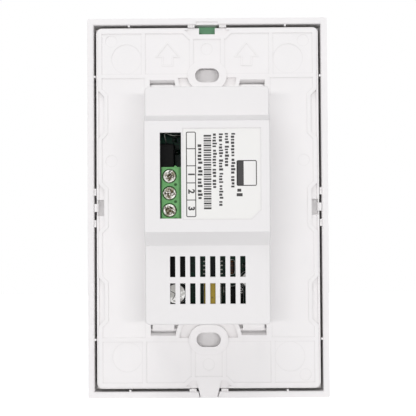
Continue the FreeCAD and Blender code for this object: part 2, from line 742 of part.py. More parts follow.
def cover_hook(side_x, side_z):
    """One hook of the inner cover, in a catch window: an ear, an arm and an outward nose."""
    inner_x = side_x * (cover_hook_outer_x - COVER_HOOK_WIDTH)
    outer_x = side_x * cover_hook_outer_x
    tip_y = -COVER_HOOK_SET_BACK
    under_y = ledge_y + HOOK_CLEARANCE
    profile = [(cavity_z - COVER_SKIRT_WALL, cover_front_y), (cover_hook_arm_z, cover_front_y),
               (cover_hook_arm_z, under_y), (cover_hook_tip_z, under_y),
               (cover_hook_tip_z, under_y + COVER_HOOK_NOSE_FACE), (cover_hook_arm_z, tip_y),
               (cover_hook_root_z, tip_y), (cover_hook_root_z, plate_front_y),
               (cavity_z - COVER_SKIRT_WALL, plate_front_y)]
    corners = [Vector(min(inner_x, outer_x), y, side_z * z) for z, y in profile]
    face = Part.Face(Part.makePolygon(corners + corners[:1]))
    return face.extrude(Vector(COVER_HOOK_WIDTH, 0, 0))


def inner_cover():
    """Lid of the rear box: a sheet with a skirt inside the box and four hooks."""
    skirt_x, skirt_z = cavity_x - COVER_CLEARANCE, cavity_z - COVER_CLEARANCE
    sheet = slab(box_x, box_z - BOX_WALL / 2, cover_front_y, plate_front_y, BOX_CORNER_RADIUS)
    skirt = slab(skirt_x, skirt_z, plate_front_y, plate_front_y + COVER_SKIRT)
    skirt = skirt.cut(slab(skirt_x - COVER_SKIRT_WALL, skirt_z - COVER_SKIRT_WALL, plate_front_y - 1,
                           plate_front_y + COVER_SKIRT + 1))
    hooks = [cover_hook(side_x, side_z) for side_x in (-1, 1) for side_z in (-1, 1)]
    body = joined([sheet, skirt] + hooks)
    half_x = CONTACTS * CONTACT_PITCH / 2 + 2 * COVER_CLEARANCE
    half_z = HEADER_BODY / 2 + 2 * COVER_CLEARANCE
    return body.cut(block(-half_x, half_x, cover_front_y - 1, plate_front_y + 1,
                          CONNECTOR_Z - half_z, CONNECTOR_Z + half_z))


def contact_places():
    """X of each contact of the board-to-board connector."""
    return [(i - (CONTACTS - 1) / 2) * CONTACT_PITCH for i in range(CONTACTS)]


def solder_pin_x():
    """X of the terminal block's solder pins."""
    return terminal_face_x - BLOCK_REACH_X + SOLDER_PIN_INSET


def power_board():
    """Mains board across the rear box, with holes for its screws and the terminals' pins."""
    body = slab(cavity_x - BOARD_CLEARANCE, cavity_z - BOARD_CLEARANCE, board_front_y, BOARD_REAR_Y,
                BOARD_CORNER_RADIUS)
    radius = SCREW_SHANK_RADIUS + SCREW_HOLE_CLEARANCE
    holes = [pin(radius, board_front_y - 1, BOARD_REAR_Y + 1, x, z) for x, z in screw_places()]
    holes += [pin(SOLDER_HOLE_RADIUS, board_front_y - 1, BOARD_REAR_Y + 1, solder_pin_x(), z) for z in pole_z]
    return body.cut(Part.makeCompound(holes))


def small_screw(x, z, seat_y, grip):
    """Small pan-head screw driven along +Y, with a cross in its head."""
    head = pin(SCREW_HEAD_RADIUS, seat_y - SCREW_HEAD_HEIGHT, seat_y, x, z)
    rims = [e for e in head.Edges if e.Closed and e.CenterOfMass.y < seat_y - SCREW_HEAD_HEIGHT / 2]
    head = head.makeFillet(SCREW_HEAD_EDGE, rims)
    body = joined([head, pin(SCREW_SHANK_RADIUS, seat_y, seat_y + grip, x, z)])
    reach = SCREW_HEAD_RADIUS * SCREW_CROSS_SHARE
    top, floor = seat_y - SCREW_HEAD_HEIGHT - 1, seat_y - SCREW_HEAD_HEIGHT / 2
    half = SCREW_SLOT_WIDTH / 2
    cross = [block(x - reach, x + reach, top, floor, z - half, z + half),
             block(x - half, x + half, top, floor, z - reach, z + reach)]
    return body.cut(Part.makeCompound(cross))


def board_screws():
    """Screws that hold the power board on its posts."""
    return [small_screw(x, z, board_front_y, BOARD_THICKNESS + SCREW_GRIP) for x, z in screw_places()]


def terminal_block():
    """Insulating body of the terminals, with a bore, a cage shaft and a wire port for each pole."""
    inner_x = terminal_face_x - BLOCK_REACH_X
    body = block(inner_x, terminal_face_x, BOARD_REAR_Y, terminal_top_y, terminal_low_z, terminal_high_z)
    lock_x = terminal_face_x - BLOCK_REACH_X / 2 + INTERLOCK_SHIFT
    lug = pin(INTERLOCK_RADIUS, BOARD_REAR_Y, terminal_top_y, lock_x, terminal_high_z)
    body = joined([body, lug])
    groove = INTERLOCK_RADIUS + INTERLOCK_CLEARANCE
    cuts = [pin(groove, BOARD_REAR_Y - 1, terminal_top_y + 1, lock_x, terminal_low_z)]
    shoulder_y = head_seat_y - CLAMP_SEAT_CLEARANCE - CLAMP_SHOULDER
    shaft_half = CAGE_WIDTH / 2 + CAGE_CLEARANCE
    shaft_inner_x = cage_inner_x - CAGE_CLEARANCE
    shaft_outer_x = cage_inner_x + CAGE_LENGTH + CAGE_CLEARANCE
    pin_x, pin_half, blade_half = solder_pin_x(), PIN_WIDTH / 2 + BLADE_FIT, BLADE_WIDTH / 2 + BLADE_FIT
    for z in pole_z:
        cuts.append(pin(CLAMP_HEAD_RADIUS + CLAMP_HEAD_CLEARANCE, head_seat_y - CLAMP_SEAT_CLEARANCE,
                        terminal_top_y + 1, clamp_x, z))
        bore = CLAMP_SHANK_RADIUS + SHANK_BORE_CLEARANCE
        cuts.append(pin(bore, shoulder_y - 1, terminal_top_y, clamp_x, z))
        cuts.append(block(shaft_inner_x, shaft_outer_x, cage_front_y - CAGE_CLEARANCE, shoulder_y,
                          z - shaft_half, z + shaft_half))
        cuts.append(block(shaft_outer_x - SEAM, terminal_face_x + 1, cage_inner_front_y, blade_front_y,
                          z - PORT_WIDTH / 2, z + PORT_WIDTH / 2))
        cuts.append(block(pin_x - pin_half, shaft_inner_x + SEAM, blade_front_y - BLADE_FIT,
                          blade_rear_y + BLADE_FIT, z - blade_half, z + blade_half))
        cuts.append(block(pin_x - pin_half, pin_x + pin_half, BOARD_REAR_Y - 1, blade_front_y,
                          z - pin_half, z + pin_half))
    for low, high in zip(pole_z, pole_z[1:]):
        cuts.append(pin(POLE_MARK_RADIUS, terminal_top_y - POLE_MARK_DEPTH, terminal_top_y + 1, lock_x,
                        (low + high) / 2))
    return body.cut(Part.makeCompound(cuts))


def terminal_contacts():
    """Fixed blade of each clamp, bent down into its solder pin."""
    pin_x = solder_pin_x()
    contacts = []
    for z in pole_z:
        blade = block(pin_x - PIN_WIDTH / 2, cage_inner_x + CAGE_LENGTH - BLADE_END_GAP, blade_front_y,
                      blade_rear_y, z - BLADE_WIDTH / 2, z + BLADE_WIDTH / 2)
        tail = block(pin_x - PIN_WIDTH / 2, pin_x + PIN_WIDTH / 2, board_front_y - PIN_TAIL, blade_front_y,
                     z - PIN_WIDTH / 2, z + PIN_WIDTH / 2)
        contacts.append(joined([blade, tail]))
    return contacts


def clamp_cage(z):
    """Rising cage of one clamp: a square tube along X with a hole for the screw in its roof."""
    body = block(cage_inner_x, cage_inner_x + CAGE_LENGTH, cage_front_y, cage_rear_y,
                 z - CAGE_WIDTH / 2, z + CAGE_WIDTH / 2)
    half = CAGE_WIDTH / 2 - CAGE_SIDE
    way = block(cage_inner_x - 1, cage_inner_x + CAGE_LENGTH + 1, cage_inner_front_y, cage_inner_rear_y,
                z - half, z + half)
    radius = CLAMP_SHANK_RADIUS + CLAMP_THREAD_CLEARANCE
    hole = pin(radius, cage_inner_rear_y - 1, cage_rear_y + 1, clamp_x, z)
    return body.cut(way).cut(hole)


def clamp_screw(z, turn):
    """Clamp screw with a combined slot and cross in its head, turned about its own axis."""
    head = pin(CLAMP_HEAD_RADIUS, head_seat_y, head_top_y, clamp_x, z)
    rims = [e for e in head.Edges if e.Closed and e.CenterOfMass.y > head_top_y - NEAR]
    head = head.makeFillet(CLAMP_HEAD_EDGE, rims)
    shank = pin(CLAMP_SHANK_RADIUS, shank_tip_y, head_seat_y, clamp_x, z)
    body = joined([head, shank])
    reach, wide = CLAMP_HEAD_RADIUS * CLAMP_CROSS_SHARE, CLAMP_HEAD_RADIUS + 1
    floor, top, half = head_top_y - CLAMP_CROSS_DEPTH, head_top_y + 1, CLAMP_CROSS_WIDTH / 2
    slot = block(clamp_x - wide, clamp_x + wide, head_top_y - CLAMP_SLOT_DEPTH, top,
                 z - CLAMP_SLOT_WIDTH / 2, z + CLAMP_SLOT_WIDTH / 2)
    across = block(clamp_x - half, clamp_x + half, floor, top, z - reach, z + reach)
    deeper = block(clamp_x - reach, clamp_x + reach, floor, top, z - half, z + half)
    body = body.cut(Part.makeCompound([slot, across, deeper]))
    return body.rotated(Vector(clamp_x, 0, z), Vector(0, 1, 0), turn)


def standing_block(low_x, low_z, width, length, height):
    """Moulded component that stands on the rear of the power board, from its lower corner."""
    body = block(low_x, low_x + width, BOARD_REAR_Y, BOARD_REAR_Y + height, low_z, low_z + length)
    edges = [e for e in body.Edges if e.CenterOfMass.y > BOARD_REAR_Y + NEAR]
    return body.makeFillet(PART_EDGE_RADIUS, edges)


def fuse():
    """Black fuse block above the terminals."""
    return standing_block(cavity_x - FUSE_WALL_GAP - FUSE_WIDTH, terminal_high_z + PART_CLEARANCE,
                          FUSE_WIDTH, FUSE_LENGTH, FUSE_HEIGHT)


def relay():
    """Relay beside the terminals, under the label."""
    return standing_block(RELAY_WALL_GAP - cavity_x, RELAY_LOW_Z, RELAY_WIDTH, RELAY_LENGTH, RELAY_HEIGHT)


def film_capacitor():
    """Boxed film capacitor behind the lower vents."""
    return standing_block(FILM_CAPACITOR_X - FILM_CAPACITOR_WIDTH / 2, FILM_CAPACITOR_WALL_GAP - cavity_z,
                          FILM_CAPACITOR_WIDTH, FILM_CAPACITOR_LENGTH, shallow_room - PART_CLEARANCE)


def rectifier():
    """Rectifier block below the terminals."""
    return standing_block(cavity_x - RECTIFIER_WALL_X - RECTIFIER_WIDTH, RECTIFIER_WALL_Z - cavity_z,
                          RECTIFIER_WIDTH, RECTIFIER_LENGTH, RECTIFIER_HEIGHT)


def power_transistor():
    """Switching transistor beside a screw post."""
    return standing_block(POST_RADIUS + TRANSISTOR_POST_GAP - post_x, TRANSISTOR_WALL_Z - cavity_z,
                          TRANSISTOR_WIDTH, TRANSISTOR_LENGTH, TRANSISTOR_HEIGHT)


def snubber_resistor():
    """Small resistor beside the driver chip."""
    return standing_block(RESISTOR_X - RESISTOR_WIDTH / 2, RESISTOR_WALL_Z - cavity_z,
                          RESISTOR_WIDTH, RESISTOR_LENGTH, RESISTOR_HEIGHT)


def electrolytic(x, z, radius, height):
    """Aluminium capacitor: a can with a crimp near its foot."""
    body = pin(radius, BOARD_REAR_Y, BOARD_REAR_Y + height, x, z)
    rims = [e for e in body.Edges if e.Closed and e.CenterOfMass.y > BOARD_REAR_Y + 1]
    body = body.makeFillet(CAN_EDGE_RADIUS, rims)
    foot = Vector(x, BOARD_REAR_Y + CAN_CRIMP_HEIGHT, z)
    return body.cut(Part.makeTorus(radius + CAN_CRIMP_RADIUS / 3, CAN_CRIMP_RADIUS, foot, Vector(0, 1, 0)))


def large_electrolytic():
    """The can behind the lower vents."""
    return electrolytic(cavity_x - LARGE_CAN_WALL_X, LARGE_CAN_WALL_Z - cavity_z, LARGE_CAN_RADIUS,
                        shallow_room - PART_CLEARANCE)


def small_electrolytic():
    """The can between the two rows of vents."""
    return electrolytic(SMALL_CAN_WALL_X - cavity_x, SMALL_CAN_WALL_Z - cavity_z, SMALL_CAN_RADIUS,
                        SMALL_CAN_HEIGHT)


def flat_chip(x, z, leads, face_y, side):
    """Chip with leads along both sides; side is 1 on a rear face and -1 on a front face."""
    half_x, half_z = CHIP_BODY_WIDTH / 2, leads * CHIP_LEAD_PITCH / 2 - CHIP_END_MARGIN + CHIP_LEAD_WIDTH
    pieces = [block(x - half_x, x + half_x, face_y, face_y + side * CHIP_HEIGHT, z - half_z, z + half_z)]
    half = CHIP_LEAD_WIDTH / 2
    for i in range(leads):
        lead_z = z + (i - (leads - 1) / 2) * CHIP_LEAD_PITCH
        for way in (-1, 1):
            pieces.append(block(x + way * half_x, x + way * CHIP_SPAN / 2, face_y,
                                face_y + side * CHIP_LEAD_HEIGHT, lead_z - half, lead_z + half))
    return pieces


def varistor():
    """Round varistor standing on edge on two legs."""
    centre_z = RELAY_LOW_Z + RELAY_LENGTH + VARISTOR_RADIUS - VARISTOR_GAP
    face_x = TRANSFORMER_WALL_GAP - cavity_x + TRANSFORMER_WIDTH + VARISTOR_SIDE_GAP
    centre = Vector(face_x, BOARD_REAR_Y + VARISTOR_GAP + VARISTOR_RADIUS, centre_z)
    disc = Part.makeCylinder(VARISTOR_RADIUS, VARISTOR_THICKNESS, centre, Vector(1, 0, 0))
    disc = disc.makeFillet(2 * PART_EDGE_RADIUS, [e for e in disc.Edges if e.Closed])
    mid_x, leg_top = face_x + VARISTOR_THICKNESS / 2, BOARD_REAR_Y + VARISTOR_GAP + VARISTOR_RADIUS / 3
    legs = [pin(VARISTOR_LEG_RADIUS, BOARD_REAR_Y, leg_top, mid_x, centre_z + side * VARISTOR_LEG_OFFSET)
            for side in (-1, 1)]
    return joined([disc] + legs)


def transformer_parts():
    """Small transformer: a ferrite frame round a taped winding."""
    low_x, low_z = TRANSFORMER_WALL_GAP - cavity_x, RELAY_LOW_Z + RELAY_LENGTH + TRANSFORMER_RELAY_GAP
    high_x, high_z = low_x + TRANSFORMER_WIDTH, low_z + TRANSFORMER_LENGTH
    top_y, leg = BOARD_REAR_Y + TRANSFORMER_HEIGHT, TRANSFORMER_LEG
    core = block(low_x, high_x, BOARD_REAR_Y, top_y, low_z, high_z)
    space = block(low_x + leg, high_x - leg, BOARD_REAR_Y - 1, top_y + 1, low_z + leg, high_z - leg)
    winding = block(low_x + leg, high_x - leg, BOARD_REAR_Y, top_y - WINDING_DROP, low_z + leg, high_z - leg)
    edges = [e for e in winding.Edges if e.CenterOfMass.y > BOARD_REAR_Y + 1]
    return core.cut(space), winding.makeFillet(PART_EDGE_RADIUS, edges)


def board_socket():
    """Female half of the board-to-board connector, on the front of the power board."""
    half_x = CONTACTS * CONTACT_PITCH / 2
    half_z = HEADER_BODY / 2
    top_y = touch_rear_y + HEADER_BODY + SOCKET_GAP
    body = block(-half_x, half_x, top_y, board_front_y, CONNECTOR_Z - half_z, CONNECTOR_Z + half_z)
    half = CONTACT_WIDTH / 2 + CONTACT_CLEARANCE
    holes = [block(x - half, x + half, top_y - 1, top_y + CONTACT_ENGAGEMENT + 1,
                   CONNECTOR_Z - half, CONNECTOR_Z + half) for x in contact_places()]
    return body.cut(Part.makeCompound(holes))


def header_body():
    """Plastic strip of the male half, on the rear of the touch board."""
    half_x, half_z = CONTACTS * CONTACT_PITCH / 2, HEADER_BODY / 2
    body = block(-half_x, half_x, touch_rear_y, touch_rear_y + HEADER_BODY,
                 CONNECTOR_Z - half_z, CONNECTOR_Z + half_z)
    half = CONTACT_WIDTH / 2
    holes = [block(x - half, x + half, touch_rear_y - 1, touch_rear_y + HEADER_BODY + 1,
                   CONNECTOR_Z - half, CONNECTOR_Z + half) for x in contact_places()]
    return body.cut(Part.makeCompound(holes))


def header_pins():
    """Square pins of the male half, from the touch board into the socket."""
    half = CONTACT_WIDTH / 2
    end = touch_rear_y + HEADER_BODY + CONTACT_ENGAGEMENT
    return [block(x - half, x + half, touch_front_y - PIN_TIP, end, CONNECTOR_Z - half, CONNECTOR_Z + half)
            for x in contact_places()]


def touch_posts():
    """X and Z of the four posts that carry the touch board."""
    return [(sx * TOUCH_POST_X, sz * TOUCH_POST_Z) for sx in (-1, 1) for sz in (-1, 1)]


def inner_wall_block(width, reach, offset, set_back):
    """Blocks on the bezel's inner wall; reach and offset hold a value for a long and for a short side."""
    rear = -set_back
    shapes = []
    for d in (-offset[0], offset[0]):
        shapes.append(block(seat_x - reach[0], seat_x + SEAM, web_rear_y, rear,
                            d - width / 2, d + width / 2))
    for d in (-offset[1], offset[1]):
        shapes.append(block(d - width / 2, d + width / 2, web_rear_y, rear,
                            seat_z - reach[1], seat_z + SEAM))
    return shapes


def pry_recess():
    """Flat recess in the top of the rim, for a blade that lifts the panel."""
    half, top_z = PRY_RECESS_HALF, seat_z + PRY_RECESS_DEPTH
    return block(-half, half, -PRY_RECESS_SINK, 1, seat_z - 1, top_z)


def bezel_frame():
    """Moulded frame behind the glass: a web and a rim that hides the wall plate's edge."""
    body = slab(panel_x, panel_z, web_front_y, 0, PANEL_CORNER_RADIUS)
    body = body.cut(slab(seat_x, seat_z, web_rear_y, 1))
    mouth = [e for e in body.Edges if e.CenterOfMass.y > -NEAR and abs(e.CenterOfMass.x) < seat_x + NEAR
             and abs(e.CenterOfMass.z) < seat_z + NEAR]
    body = body.makeChamfer(RIM_INNER_CHAMFER, mouth)
    reach = (PLATE_SIDE_GAP - BLOCK_CLEARANCE, PLATE_END_GAP - BLOCK_CLEARANCE)
    half = inner_wall_block(BLOCK_WIDTH, reach, (BLOCK_OFFSET, BLOCK_OFFSET), BLOCK_SET_BACK)
    for side in (-1, 1):
        offset = BLOCK_OFFSET + side * (BLOCK_WIDTH - BLOCK_RIB_WIDTH) / 2
        half += inner_wall_block(BLOCK_RIB_WIDTH, reach, (offset, offset), BLOCK_RIB_SET_BACK)
    half += inner_wall_block(SMALL_RIB_WIDTH, (SMALL_RIB_HEIGHT, SMALL_RIB_HEIGHT), (slot_z, SMALL_RIB_X),
                             BLOCK_RIB_SET_BACK)
    opposite = [mirrored(flipped(s)) for s in half]
    posts = [pin(TOUCH_POST_RADIUS, touch_front_y, web_rear_y - WEB_THICKNESS / 2, x, z)
             for x, z in touch_posts()]
    body = joined([body] + half + opposite + posts)
    cuts = [prism(tab_outline(TAB_GAP), plate_front_y - TAB_GAP, 1)]
    cuts.append(pry_recess())
    hole = LIGHT_RING_RADIUS + LIGHT_RING_CLEARANCE
    cuts.append(pin(hole, web_front_y - 1, web_rear_y + 1))
    for x, z in touch_posts():
        cuts.append(pin(POST_HOLE_RADIUS, web_front_y + POST_FLOOR, touch_front_y + 1, x, z))
    return body.cut(Part.makeCompound(cuts))


def panel_snap_hooks():
    """Springy hooks at the middle of both long sides, rooted in the bezel's web."""
    tip_y = -HOOK_SET_BACK
    under_y = tip_y - HOOK_NOSE_HEIGHT
    outer, inner = hook_inner_x + HOOK_ARM, hook_inner_x
    nose = inner - HOOK_NOSE
    profile = [(outer, web_rear_y), (outer, tip_y), (inner, tip_y), (nose, under_y + HOOK_NOSE_FACE),
               (nose, under_y), (inner, under_y), (inner, web_rear_y)]
    corners = [Vector(x, y, -HOOK_WIDTH / 2) for x, y in profile]
    hook = Part.Face(Part.makePolygon(corners + corners[:1])).extrude(Vector(0, 0, HOOK_WIDTH))
    return [hook, mirrored(hook)]


def glass_panel():
    """Front glass with a bevelled front edge."""
    body = slab(panel_x, panel_z, glass_front_y, tape_front_y, PANEL_CORNER_RADIUS)
    edges = [e for e in body.Edges if e.CenterOfMass.y < glass_front_y + NEAR]
    return body.makeChamfer(GLASS_EDGE_CHAMFER, edges)


def glass_tape():
    """Band of double-sided tape between the glass and the bezel."""
    outer_x, outer_z = panel_x - TAPE_INSET, panel_z - TAPE_INSET
    band = slab(outer_x, outer_z, tape_front_y, web_front_y, TAPE_CORNER_RADIUS)
    return band.cut(slab(outer_x - TAPE_BAND, outer_z - TAPE_BAND, tape_front_y - 1, web_front_y + 1,
                         TAPE_CORNER_RADIUS))


def panel_back_cover():
    """White cover that closes the front panel from behind, open for the connector and the tongue."""
    body = slab(plate_x, plate_z, panel_cover_front_y, panel_cover_rear_y, PLATE_CORNER_RADIUS)
    spacers = [pin(SPACER_RADIUS, touch_rear_y, panel_cover_front_y + SEAM, x, z) for x, z in touch_posts()]
    body = joined([body] + spacers)
    low, high, seat_y = touch_rear_y - 1, panel_cover_rear_y + 1, panel_cover_front_y + PANEL_COVER_SEAT
    half_x = CONTACTS * CONTACT_PITCH / 2 + PANEL_COVER_OPENING
    half_z = HEADER_BODY / 2 + PANEL_COVER_OPENING
    cuts = [block(-half_x, half_x, low, high, CONNECTOR_Z - half_z, CONNECTOR_Z + half_z),
            block(-TONGUE_HALF, TONGUE_HALF, low, high, plate_z - TOP_NOTCH_DEPTH - 1, plate_z + 1)]
    for x, z in touch_posts():
        cuts.append(pin(SCREW_SHANK_RADIUS + SCREW_HOLE_CLEARANCE, low, high, x, z))
        cuts.append(pin(SCREW_HEAD_RADIUS + SCREW_HOLE_CLEARANCE, seat_y, high, x, z))
    return body.cut(Part.makeCompound(cuts))


def touch_board():
    """Board behind the glass, with a tongue that fills the space under the top notch."""
    half_x, half_z = plate_x - TOUCH_BOARD_INSET, plate_z - TOUCH_BOARD_INSET
    body = slab(half_x, half_z, touch_front_y, touch_rear_y, PLATE_CORNER_RADIUS)
    tongue = block(-TONGUE_HALF, TONGUE_HALF, touch_front_y, touch_rear_y, half_z - 1, seat_z - TONGUE_GAP)
    body = joined([body, tongue])
    low, high = touch_front_y - 1, touch_rear_y + 1
    radius = SCREW_SHANK_RADIUS + SCREW_HOLE_CLEARANCE
    cuts = [pin(radius, low, high, x, z) for x, z in touch_posts()]
    half = CONTACT_WIDTH / 2
    cuts += [block(x - half, x + half, low, high, CONNECTOR_Z - half, CONNECTOR_Z + half)
             for x in contact_places()]
    return body.cut(Part.makeCompound(cuts))


def touch_board_screws():
    """Screws that hold the back cover and the touch board on the bezel's posts, driven towards the glass."""
    screws = []
    for x, z in touch_posts():
        screw = small_screw(x, z, 0, TOUCH_SCREW_LENGTH).mirror(Vector(0, 0, 0), Vector(0, 1, 0))
        screws.append(screw.translated(Vector(0, panel_cover_front_y + PANEL_COVER_SEAT, 0)))
    return screws


def arc_between(start, corner, end):
    """Arc from start to end, tangent at both to the lines through the corner."""
    middle = (start + end) / 2
    bulge, half_chord = corner - middle, (end - start).Length / 2
    rise = half_chord * math.tan(math.atan2(bulge.Length, half_chord) / 2)
    return Part.Arc(start, middle + bulge * (rise / bulge.Length), end).toShape()


def coil_path(radius, pitch, turns, low_y):
    """Helix about Y as pairs of arcs, one pair to a quarter turn."""
    step = math.pi / 2
    places, ways = [], []
    for i in range(4 * turns + 1):
        angle = i * step
        places.append(Vector(radius * math.cos(angle), low_y + pitch * i / 4, radius * math.sin(angle)))
        way = Vector(-radius * math.sin(angle), pitch / (2 * math.pi), radius * math.cos(angle))
        ways.append(way.normalize())
    edges = []
    for start, end, leave, arrive in zip(places, places[1:], ways, ways[1:]):
        chord, both, spread = end - start, leave + arrive, 2 * (1 - leave.dot(arrive))
        along = chord.dot(both)
        reach = (math.sqrt(along * along + spread * chord.dot(chord)) - along) / spread
        first, second = start + leave * reach, end - arrive * reach
        meeting = (first + second) / 2
        edges += [arc_between(start, first, meeting), arc_between(meeting, second, end)]
    return edges, places[0], ways[0]


def touch_spring():
    """Touch electrode: a coil that presses against the back of the glass from the touch board."""
    low_y = tape_front_y + SPRING_WIRE + SPRING_END_GAP
    pitch = (touch_front_y - SPRING_WIRE - SPRING_END_GAP - low_y) / SPRING_TURNS
    edges, start, way = coil_path(SPRING_RADIUS, pitch, SPRING_TURNS, low_y)
    section = Part.Wire([Part.Circle(start, way, SPRING_WIRE).toShape()])
    return Part.Wire(edges).makePipeShell([section], True, False)


def light_guide():
    """Clear ring that carries the lamps' light to the glass."""
    inner = LIGHT_RING_RADIUS - LIGHT_RING_WALL
    rear = touch_front_y - LED_HEIGHT - LIGHT_RING_CLEARANCE
    ring = pin(LIGHT_RING_RADIUS, tape_front_y, web_rear_y).cut(pin(inner, tape_front_y - 1, rear + 1))
    flange = pin(LIGHT_RING_RADIUS + LIGHT_RING_FLANGE, web_rear_y, rear)
    return joined([ring, flange.cut(pin(inner, web_rear_y - 1, rear + 1))])


def status_lamps():
    """Small lamps on the touch board, under the light guide."""
    lamps = []
    radius = LIGHT_RING_RADIUS - LIGHT_RING_WALL / 2
    for i in range(LED_COUNT):
        angle = 2 * math.pi * (i + 0.5) / LED_COUNT
        x, z = radius * math.cos(angle), radius * math.sin(angle)
        lamps.append(block(x - LED_SIZE / 2, x + LED_SIZE / 2, touch_front_y - LED_HEIGHT, touch_front_y,
                           z - LED_SIZE / 2, z + LED_SIZE / 2))
    return lamps


def radio_board():
    """Radio module's own board, on the front of the touch board."""
    return block(-RADIO_WIDTH / 2, RADIO_WIDTH / 2, touch_front_y - RADIO_BOARD, touch_front_y,
                 RADIO_Z - RADIO_LENGTH / 2, RADIO_Z + RADIO_LENGTH / 2)


def radio_shield():
    """Metal can over the radio's circuit; the end without it holds the aerial."""
    face = touch_front_y - RADIO_BOARD
    half_x = RADIO_WIDTH / 2 - SHIELD_INSET
    low = RADIO_Z - RADIO_LENGTH / 2 + AERIAL_LENGTH
    body = block(-half_x, half_x, face - SHIELD_HEIGHT, face, low, RADIO_Z + RADIO_LENGTH / 2 - SHIELD_INSET)
    edges = [e for e in body.Edges if e.CenterOfMass.y < face - NEAR]
    return body.makeFillet(SHIELD_EDGE_RADIUS, edges)


def all_parts():
    """Every sub-part by name; a list holds separate solids of one sub-part."""
    core, winding = transformer_parts()
    parts = {
        "rear_housing": rear_housing(),
        "rating_label": rating_label(),
        "inner_cover": inner_cover(),
        "power_board": power_board(),
        "board_screws": board_screws(),
        "terminal_block": terminal_block(),
        "terminal_contacts": terminal_contacts(),
        "fuse": fuse(),
        "relay": relay(),
        "film_capacitor": film_capacitor(),
        "large_electrolytic": large_electrolytic(),
        "small_electrolytic": small_electrolytic(),
        "varistor": varistor(),
        "transformer_core": core,
        "transformer_winding": winding,
        "rectifier": rectifier(),
        "power_transistor": power_transistor(),
        "driver_chip": flat_chip(DRIVER_X, DRIVER_WALL_Z - cavity_z, DRIVER_LEAD_COUNT, BOARD_REAR_Y, 1),
        "snubber_resistor": snubber_resistor(),
        "board_socket": board_socket(),
        "bezel_frame": bezel_frame(),
        "panel_snap_hooks": panel_snap_hooks(),
        "glass_panel": glass_panel(),
        "glass_tape": glass_tape(),
        "panel_back_cover": panel_back_cover(),
        "touch_board": touch_board(),
        "touch_board_screws": touch_board_screws(),
        "touch_spring": touch_spring(),
        "light_guide": light_guide(),
        "status_lamps": status_lamps(),
        "touch_chip": flat_chip(TOUCH_CHIP_X, TOUCH_CHIP_Z, TOUCH_CHIP_LEAD_COUNT, touch_front_y, -1),
        "radio_board": radio_board(),
        "radio_shield": radio_shield(),
        "header_body": header_body(),
        "header_pins": header_pins(),
    }
    for i, z in enumerate(pole_z):
        number = POLES - i
        parts[f"terminal_screw_{number}"] = clamp_screw(z, CLAMP_SCREW_TURNS[i])
        parts[f"clamp_cage_{number}"] = clamp_cage(z)
    return parts


def main():
    """Writes one file for each sub-part."""
    os.makedirs("parts", exist_ok=True)
    for name, shape in all_parts().items():
        solids = shape if isinstance(shape, list) else [shape]
        solids = [s for item in solids for s in item.Solids]
        made = solids[0] if len(solids) == 1 else Part.makeCompound(solids)
        made.exportStep(os.path.join("parts", name + ".step"))
        volume = sum(s.Volume for s in solids)
        print(f"{name}: {len(solids)} solids, {volume:.1f} mm3, valid {all(s.isValid() for s in solids)}")


main()
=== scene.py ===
"""Looks of the wall-mounted touch switch, seen from behind as in the photograph."""
import bpy
import bmesh
import math
import random
from functools import reduce
from mathutils import Matrix, Vector
from operator import or_


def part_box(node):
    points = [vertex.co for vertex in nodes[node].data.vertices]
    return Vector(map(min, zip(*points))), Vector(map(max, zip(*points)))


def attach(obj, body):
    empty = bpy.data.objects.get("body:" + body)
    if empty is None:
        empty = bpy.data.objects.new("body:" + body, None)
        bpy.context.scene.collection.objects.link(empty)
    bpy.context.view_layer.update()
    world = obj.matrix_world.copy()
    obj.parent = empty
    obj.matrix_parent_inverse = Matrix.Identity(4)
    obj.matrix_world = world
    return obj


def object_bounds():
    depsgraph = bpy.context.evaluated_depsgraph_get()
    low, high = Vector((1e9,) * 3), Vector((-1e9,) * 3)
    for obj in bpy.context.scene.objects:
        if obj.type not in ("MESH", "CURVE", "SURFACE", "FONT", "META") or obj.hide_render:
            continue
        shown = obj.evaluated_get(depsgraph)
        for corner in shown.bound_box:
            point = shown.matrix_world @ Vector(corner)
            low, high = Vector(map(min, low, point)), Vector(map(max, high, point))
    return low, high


MM = 0.001

# Poles of the terminal block, from the top down
POLES = (1, 2, 3)

# Colours, as linear red, green and blue
WHITE_MOULDING = (0.870, 0.853, 0.851)
# Painted shade for the corners of the white moulding
CORNER_SHADE = (0.50, 0.49, 0.48)
LABEL_STOCK = (0.852, 0.843, 0.823)
LABEL_INK = (0.036, 0.034, 0.034)
BOARD_INK = (0.70, 0.70, 0.68)
GLASS_PAINT = (0.85, 0.86, 0.865)
GLASS_MARKS = (0.55, 0.62, 0.68)
GLASS_EDGE = (0.66, 0.78, 0.73)
FOAM_CELLS = (0.42, 0.43, 0.44)
FOAM_WALLS = (0.62, 0.62, 0.62)
DARK_MASK = (0.006, 0.022, 0.014)
DARK_MASK_ON_COPPER = (0.010, 0.052, 0.031)
GREEN_MASK = (0.10, 0.27, 0.14)
GREEN_MASK_ON_COPPER = (0.17, 0.38, 0.22)
CUT_LAMINATE = (0.42, 0.36, 0.16)
POLYAMIDE = (0.105, 0.30, 0.10)
PALE_POLYAMIDE = (0.17, 0.385, 0.16)
POLYAMIDE_SHADOW = (0.01, 0.035, 0.012)
BLACK_PLASTIC = (0.007, 0.007, 0.008)
FUSE_PLASTIC = (0.006, 0.006, 0.006)
TRANSISTOR_RESIN = (0.009, 0.009, 0.01)
DUST = (0.06, 0.058, 0.052)
CHIP_RESIN = (0.022, 0.022, 0.024)
CHIP_DIMPLE = (0.09, 0.09, 0.095)
CHIP_LEADS = (0.56, 0.55, 0.51)
NICKEL = (0.74, 0.72, 0.67)
TIN = (0.76, 0.74, 0.69)
DULL_SCREW = (0.36, 0.33, 0.26)
BRIGHT_SCREW = (0.98, 0.96, 0.93)
DARK_RESIDUE = (0.016, 0.011, 0.006)
BROWN_RESIDUE = (0.26, 0.19, 0.08)
GOLD = (0.83, 0.60, 0.24)
